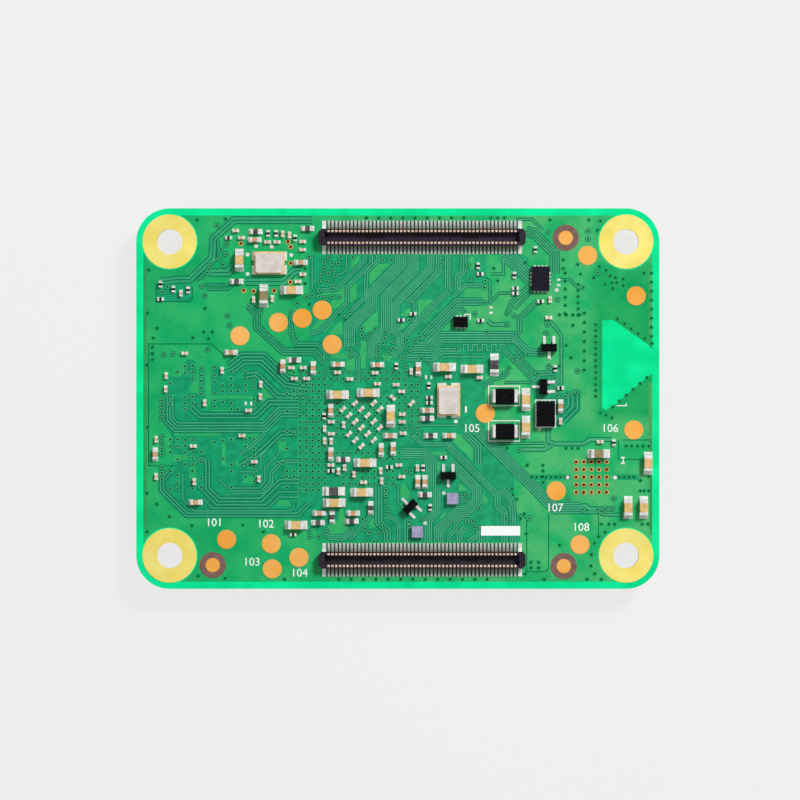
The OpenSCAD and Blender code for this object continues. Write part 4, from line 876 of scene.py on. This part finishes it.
RINGED_VIAS = [
    (-9.3, 14.9), (-7.2, 14.85), (-6, 14.85), (-4.75, 14.85), (-7.75, 14.3), (-6.9, 14.2),
    (-6.25, 14.2),
    (-7.75, 13.65), (-6.75, 13.5), (-7.3, 13.15), (-8, 13), (-6.55, 12.95), (-8.25, 12.35),
    (-7.45, 12.3),
    (-6.9, 11.85), (-8.25, 11.4), (-8.25, 10.7), (-7.6, 10.6), (-6.9, 10.7), (-6.15, 10.7), (-9, 10.85),
    (-9.6, 10.7), (-1.55, 14.55), (-0.65, 14.55), (-5, 9.05), (1.2, 8.25), (-3.8, 7.35), (-3.8, 6.7),
    (-3.3, 6.35), (-2.8, 6.85), (-2.35, 7.3), (-1.3, 7), (-1.4, 6.35), (-1.5, 5.8), (-2, 5.5),
    (-2.05, 4.95), (-2.05, 4.3), (-0.45, 6), (-0.5, 5.3), (-1, 4.85), (-4.9, 6.2), (-4.2, 5.7),
    (-5, 5.05), (-5, 4.4), (1, 6.15), (1.9, 6.1), (0.85, 5.6), (1.35, 5.15), (0.9, 4.65),
    (0.4, 4.3),
    (2.35, 6.5), (2.9, 6.6), (2.5, 4.15), (3.4, 3.8), (0.8, 3.4), (6.2, 5.3), (2.4, 2.1),
    (7.4, 14), (7.6, 12.5), (9.2, 12.4), (9.1, 11.7), (9.2, 10.1), (4.6, 14.2), (5.9, 12.1), (3.4, 5.5),
    (9.4, 7), (8.1, 8.9), (7, 9.15), (0.8, -7.6), (1.4, -7.6), (-1.25, -9.6),
    (-1.25, -10.15), (-1.25, -10.8), (-1.15, -11.4), (-1.1, -12),
    (-3.7, -12.7), (-3.45, -13.7), (-3.05, -14.1), (-1.75, -13.45), (-1.4, -13.9), (-2, -14.15),
    (-4.85, -13.75), (-7.55, -13.8), (-9.3, -13.9), (-9.2, -14.5), (-8.3, -14.5), (-6.1, -15),
    (-2.5, -15),
    (1.2, -12.95), (1.2, -13.4), (2.6, -12.6), (11.7, -12.6), (8.6, -11.5), (7.3, -12.9), (7.9, -12.9),
    (8.1, -13.5), (7.2, -10.1), (7.3, -10.7),
    (-19, 18.2), (-18, 16.2), (-18.6, 15.7), (-18.1, 15.2), (-18.8, 14.7), (-18.35, 14.1),
    (-19.7, 13.95),
    (-20, 13.25), (-20.5, 12.8), (-20.6, 11.8), (-20.3, 10.8), (-17.9, 8.7), (-17.7, 7.7), (-24.6, 4.6),
    (-23.6, 4.7), (-20, 5.15), (-24.2, 11.75), (-24.7, 11.2), (-15.6, 9.7), (-14.35, 9.2), (-11.2, 6.9),
    (-10.6, 10), (20, 17.6), (20, 16.8), (15.8, 17.5), (21, 13.25), (19.5, 11.65), (12.25, 8.7),
    (11.5, 8.95), (12.6, 6.75), (11.5, 7.8), (18.9, 2.9), (16.8, 10.4), (12.8, -5.4), (17.9, -10.6),
    (22.7, -10.5), (13.8, -12.6), (15.6, 6.9), (15.7, 7.8), (12.6, 4.9), (13.6, 4.6), (12.55, 4.3),
    (11.65, 3.2), (14.65, 2.65), (15.85, 3.4), (16.45, 2.15), (11, 2.6), (16.8, 0.35), (17.6, 0.25),
    (18.15, 0.4), (18.8, 0.65),
    (19.45, -11.65), (21.05, -11.65), (21.8, -11.6), (22.6, -11.55),
]
SIDE_STEP = (0, -0.62)
RINGED_VIAS += row_of((-24.8, -0.2), SIDE_STEP, 4)
RINGED_VIAS += row_of((-24.8, -4.0), SIDE_STEP, 4)
RINGED_VIAS += row_of((-24.8, -7.2), SIDE_STEP, 3)
# Columns of vias under the memory, as x and the places along y
MEMORY_COLUMNS = [
    (-23.9, [1.6, 0.2, -0.5, -4.3, -5, -5.65, -7.6, -9.5]),
    (-23.15, [2.85, -4.3, -5, -6.35, -8.05, -8.85, -9.45]),
    (-22.35, [3.4, 2.75, 0.15, -0.5, -1.1, -4.35, -4.95, -5.65, -6.9]),
    (-21.6, [3.45, 2.75, 2.1, 0.2, -0.5, -4.35, -5.6, -6.25, -6.9, -7.6, -9.45]),
    (-20.65, [3.2, 2.45, 1.85, 1.15, 0.5, -5.6, -6.65, -8.4, -9.35]),
    (-19.25, [3.3, 2.45, 1.8, 0.55, -0.2, -0.8, -4.6]),
    (-18.4, [1.4, 0.8, -0.35, -4.4, -6.3]),
    (-18, [-10.25]),
    (-17.15, [-10.25]),
    (-17.5, [2.85, 2.1, 1.4, 0.8, -0.45, -1.1, -4.3, -6.9, -7.6, -9.3]),
    (-16.8, [0.8, -1.1]),
    (-16, [2.75, 2.1, 1.4, 0.8, -4.3, -5, -6.3, -6.9, -8.2]),
    (-15.1, [2.6, 1.8, 1.2, -0.1, -0.85, -4.3, -5.25, -6.05, -7.2, -8.1, -8.7]),
    (-12.7, [-4.35, -6.8]),
    (-12.05, [-4.35, -6.75]),
    (-11.65, [0.5, -1.35, -3.4, -5.25, -7.6, -8.2, -9.3]),
    (-10.9, [2.75, 0.8, 0.2, -3.7, -7.6, -8.2]),
]
# Rows of lone vias, as along the edges of copper
FENCES = [
    row_of((17.6, 13.2), (0, -0.85), 6),
    row_of((18.95, 12), (0, -0.64), 6),
    row_of((19.6, 9), (0, -1), 7),
    row_of((20.8, 7.8), (0, -0.63), 13),
    row_of((17, 8.8), (0.7, 0), 4),
    row_of((26.65, 13.2), (0, -0.95), 8),
    row_of((23.1, 8.4), (0.72, -0.52), 6),
    row_of((22.6, -0.9), (0.72, 0.62), 6),
    row_of((21.3, -1.5), (0.6, -0.25), 3),
    row_of((14.1, -8.25), (0.5, 0), 8),
    row_of((23.3, -8.25), (0.5, 0), 4),
    row_of((15.25, -7), (0, -0.6), 4),
    row_of((17.7, -5.2), (0.62, 0), 3),
    row_of((24, -5), (0.6, 0), 5),
    row_of((-3.3, 19), (1.28, 0), 9),
    row_of((14, -17.2), (0.8, 0), 2),
    row_of((14, -17.8), (0.8, 0), 2),
    row_of((-25.8, 5.4), (0, -0.65), 3),
    row_of((-6.2, -19), (1.3, 0), 13),
    row_of((9.8, 19), (0.7, 0), 3),
]
# Vias under the processor: blocks of its grid as (first column, first row, columns, rows)
BGA_CORNER = (-10.25, 2.75)
BGA_PITCH = 0.65
BGA_BLOCKS = [
    (0, 0, 5, 20), (5, 0, 13, 2), (6, 4, 2, 7), (8, 4, 7, 7), (16, 2, 4, 9), (6, 13, 11, 2),
    (7, 16, 9, 3),
]


def bga_vias():
    places = []
    for column, row, columns, rows in BGA_BLOCKS:
        start = (BGA_CORNER[0] + column * BGA_PITCH, BGA_CORNER[1] - row * BGA_PITCH)
        places += grid_of(start, BGA_PITCH, columns, BGA_PITCH, rows)
    return places


VIA_D = 0.23
SMALL_LAND_D = 0.39
MEMORY_LAND_D = 0.42
LAND_D = 0.45
HALO_D = 0.46
CLEARING_D = 0.64


def vias(side, under):
    """The vias as they end on one face; they pass through the board, so both faces have them."""
    dimples = Sheet(side + "_via_dimples", DIMPLE, DIMPLE_H, "board", under)
    lands = Sheet(side + "_via_lands", LAND, LAND_H, "board", under)
    clearings = Sheet(side + "_via_clearings", GROUND, CLEARING_H, "board", under)
    halos = Sheet(side + "_via_halos", HALO, HALO_H, "board", under)
    lone = LONE_VIAS + sum(FENCES, [])
    close = bga_vias()
    memory = [(x, y) for x, ys in MEMORY_COLUMNS for y in ys]
    for place in lone + close + memory + RINGED_VIAS:
        dimples.disc(place, VIA_D, sides=10)
    for place in lone:
        halos.disc(place, HALO_D)
    for place in close:
        lands.disc(place, SMALL_LAND_D, sides=12)
    for place in memory:
        lands.disc(place, MEMORY_LAND_D)
    for place in RINGED_VIAS:
        lands.disc(place, LAND_D)
        clearings.disc(place, CLEARING_D)
    for sheet in (dimples, lands, clearings, halos):
        sheet.done()


# Bare laminate shows round the fiducial dots, and open vias are flat discs of painted shade, standing for
# the dark inside of their holes over the copper's own brown
FIDUCIALS = [(17.65, 16.9), (-19.45, -17.5), (17.45, -17.6)]
OPEN_VIAS = [
    (-16.5, 16.3), (-16.2, 11.35), (-15.15, 11.3), (-11.55, 16.5),
    (-11.25, 15.95), (-11.25, 14.25), (-11.3, 12.25), (-13, 11.35),
]
THERMAL_CORNER = (18.75, -6.65)
THERMAL_PITCH = 0.8
THERMAL_COUNT = 5
WINDOW_D = 2.75
FIDUCIAL_D = 1.4
BORE_D = 0.34


def openings():
    """Windows in the mask round the fiducial dots, and the bores of open vias as discs of painted shade.
    """
    windows = Sheet("fiducial_windows", WINDOW, CLEARING_H, "board")
    for place in FIDUCIALS:
        windows.loop(place, WINDOW_D, FIDUCIAL_D, sides=48)
    windows.done()
    bores = Sheet("via_bores", BORE_PAINTED_SHADE, DIMPLE_H, "board")
    thermal = grid_of(THERMAL_CORNER, THERMAL_PITCH, THERMAL_COUNT, THERMAL_PITCH, THERMAL_COUNT)
    for place in OPEN_VIAS + thermal:
        bores.disc(place, BORE_D, sides=16)
    bores.done()


# How far the openings pass the rows' ends, reach under the walls and stop short of the tails' tips
ROW_MARGIN = 0.1
UNDER_WALL = 0.1
TIP_SHORT = 0.02


def tail_openings_painted_shade():
    """The mask is open along each row of solder tails; the dark strips there are partly the bare opening
    and partly painted shade for the shadow between the tails.
    """
    strips = Sheet("tail_openings_painted_shade", OPENING_PAINTED_SHADE, OPENING_H, "board")
    x0 = contacts_low.x / MM - ROW_MARGIN
    x1 = contacts_high.x / MM + ROW_MARGIN
    for middle in (-CONNECTOR_Y, CONNECTOR_Y):
        for side in (-1, 1):
            y0 = middle + side * (WALL_OUT - UNDER_WALL)
            y1 = middle + side * (TAIL_REACH - TIP_SHORT)
            strips.plate(rectangle(x0, y0, x1, y1))
    strips.done()


# White print: frames, pin marks and plain numbers beside the test pads
PRINT_W = 0.095
PIN_RING_D = 0.36
PIN_RING_INNER_D = 0.18
PIN_DOT_D = 0.38
FRAMES = [(9.5, -0.79, 12.85, 1.36), (9.5, -4.51, 12.85, -2.28), (14.45, -3.05, 16.6, -0.1)]
PIN_RINGS = [(14.9, -3.2), (4.85, -9.93), (2.87, -13.1)]
PIN_DOTS = [(6.1, -2.4), (15.9, 0.68)]
BARS = [(7.06, -1.45, 7.26, -0.8), (8.75, -14.4, 12.86, -13.4)]
STROKES = [
    [(7, 8.85), (7.6, 8.85), (7.6, 8.25)],
    [(23.7, -6.15), (23.7, -6.85)],
    [(23, -0.75), (24, -0.75), (24, -0.5)],
]
NUMBERS = [
    ("101", (-19.3, -13.05)), ("102", (-13.9, -13.2)), ("103", (-15.35, -17.2)), ("104", (-10.35, -18.35)),
    ("105", (7.75, -3.15)), ("106", (22.3, -3.15)), ("107", (16.5, -11.5)), ("108", (19.25, -13.55)),
]
NUMBER_SIZE = 1.2


def print_marks():
    marks = Sheet("print_marks", INK, PRINT_H, "print")
    for x0, y0, x1, y1 in FRAMES:
        marks.frame(
            rectangle(x0, y0, x1, y1),
            rectangle(x0 + PRINT_W, y0 + PRINT_W, x1 - PRINT_W, y1 - PRINT_W),
        )
    for place in PIN_RINGS:
        marks.loop(place, PIN_RING_D, PIN_RING_INNER_D)
    for place in PIN_DOTS:
        marks.disc(place, PIN_DOT_D, sides=20)
    for bar in BARS:
        marks.plate(rectangle(*bar))
    for path in STROKES:
        marks.ribbon(path, PRINT_W)
    marks.done()


def print_number(word, place):
    """A plain number, turned from text into a mesh."""
    text = bpy.data.curves.new("number_" + word, "FONT")
    text.body = word
    text.size = NUMBER_SIZE * MM
    text.extrude = PRINT_H / 2 * MM
    text.align_x = "CENTER"
    text.align_y = "CENTER"
    text.resolution_u = 3
    holder = bpy.data.objects.new("holder_" + word, text)
    scene.collection.objects.link(holder)
    depsgraph = bpy.context.evaluated_depsgraph_get()
    data = bpy.data.meshes.new_from_object(holder.evaluated_get(depsgraph))
    bpy.data.objects.remove(holder)
    data.materials.clear()
    data.materials.append(INK)
    piece = bpy.data.objects.new("number_" + word, data)
    piece.location = (place[0] * MM, place[1] * MM, TOP_Z + PRINT_H / 2 * MM)
    scene.collection.objects.link(piece)
    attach(piece, "root")


copper_fields()
copper_areas()
traces()
routing_lines()
edge_rails()
vias("upper", False)
vias("lower", True)
openings()
tail_openings_painted_shade()
print_marks()
for word, place in NUMBERS:
    print_number(word, place)

# Floor, light and camera
FLOOR_SIZE = 6.0
FLOOR_DROP = 0.02
FLOOR_TONE = linear(239, 239, 239)
GLOW_SHARE = 0.9


def floor_skin():
    """Matt and pale; for rays that see it, mostly an even glow, so that only a faint shadow shows."""
    skin = Skin("floor", 0.9, specular=0.0)
    skin.two_tone(linear(236, 236, 236), linear(241, 241, 241), size_mm=60)
    path = skin.nodes.new("ShaderNodeLightPath")
    seen = path.outputs["Is Camera Ray"]
    for name in ("Is Glossy Ray", "Is Transmission Ray"):
        either = skin.nodes.new("ShaderNodeMath")
        either.operation = "MAXIMUM"
        skin.links.new(seen, either.inputs[0])
        skin.links.new(path.outputs[name], either.inputs[1])
        seen = either.outputs["Value"]
    glow = skin.nodes.new("ShaderNodeEmission")
    glow.inputs["Color"].default_value = FLOOR_TONE
    blend = skin.nodes.new("ShaderNodeMixShader")
    skin.links.new(skin.math("MULTIPLY", seen, GLOW_SHARE), blend.inputs["Fac"])
    skin.links.new(skin.shader.outputs["BSDF"], blend.inputs[1])
    skin.links.new(glow.outputs["Emission"], blend.inputs[2])
    skin.links.new(blend.outputs["Shader"], skin.nodes["Material Output"].inputs["Surface"])
    return skin.material


def floor():
    data = bpy.data.meshes.new("floor")
    half = FLOOR_SIZE / 2
    z = cad_box[0].z - FLOOR_DROP * MM
    data.from_pydata([(x, y, z) for x, y in rectangle(-half, -half, half, half)], [], [(0, 1, 2, 3)])
    data.materials.append(floor_skin())
    piece = bpy.data.objects.new("floor", data)
    scene.collection.objects.link(piece)


def sky(strength):
    world = bpy.data.worlds.new("studio")
    world.use_nodes = True
    world.node_tree.nodes["Background"].inputs["Color"].default_value = grey(1.0)
    world.node_tree.nodes["Background"].inputs["Strength"].default_value = strength
    scene.world = world


def lamp(name, place, size, power):
    light = bpy.data.lights.new(name, "AREA")
    light.shape = "DISK"
    light.size = size
    light.energy = power
    holder = bpy.data.objects.new(name, light)
    holder.location = place
    holder.rotation_euler = (-Vector(place)).to_track_quat("-Z", "Y").to_euler()
    scene.collection.objects.link(holder)


def camera(place, height, view_width):
    data = bpy.data.cameras.new("camera")
    data.sensor_width = 36.0
    data.lens = data.sensor_width * height / view_width
    data.clip_end = 20.0
    holder = bpy.data.objects.new("camera", data)
    holder.location = (place[0] * MM, place[1] * MM, TOP_Z + height * MM)
    scene.collection.objects.link(holder)
    scene.camera = holder


floor()
sky(strength=0.3)
lamp("key", place=(0.30, 0.34, 0.46), size=0.18, power=4.05)
lamp("fill", place=(-0.35, -0.2, 0.5), size=0.4, power=0.3)
camera(place=(0.231, -0.147), height=420.0, view_width=84.1)
scene.view_settings.view_transform = "Standard"
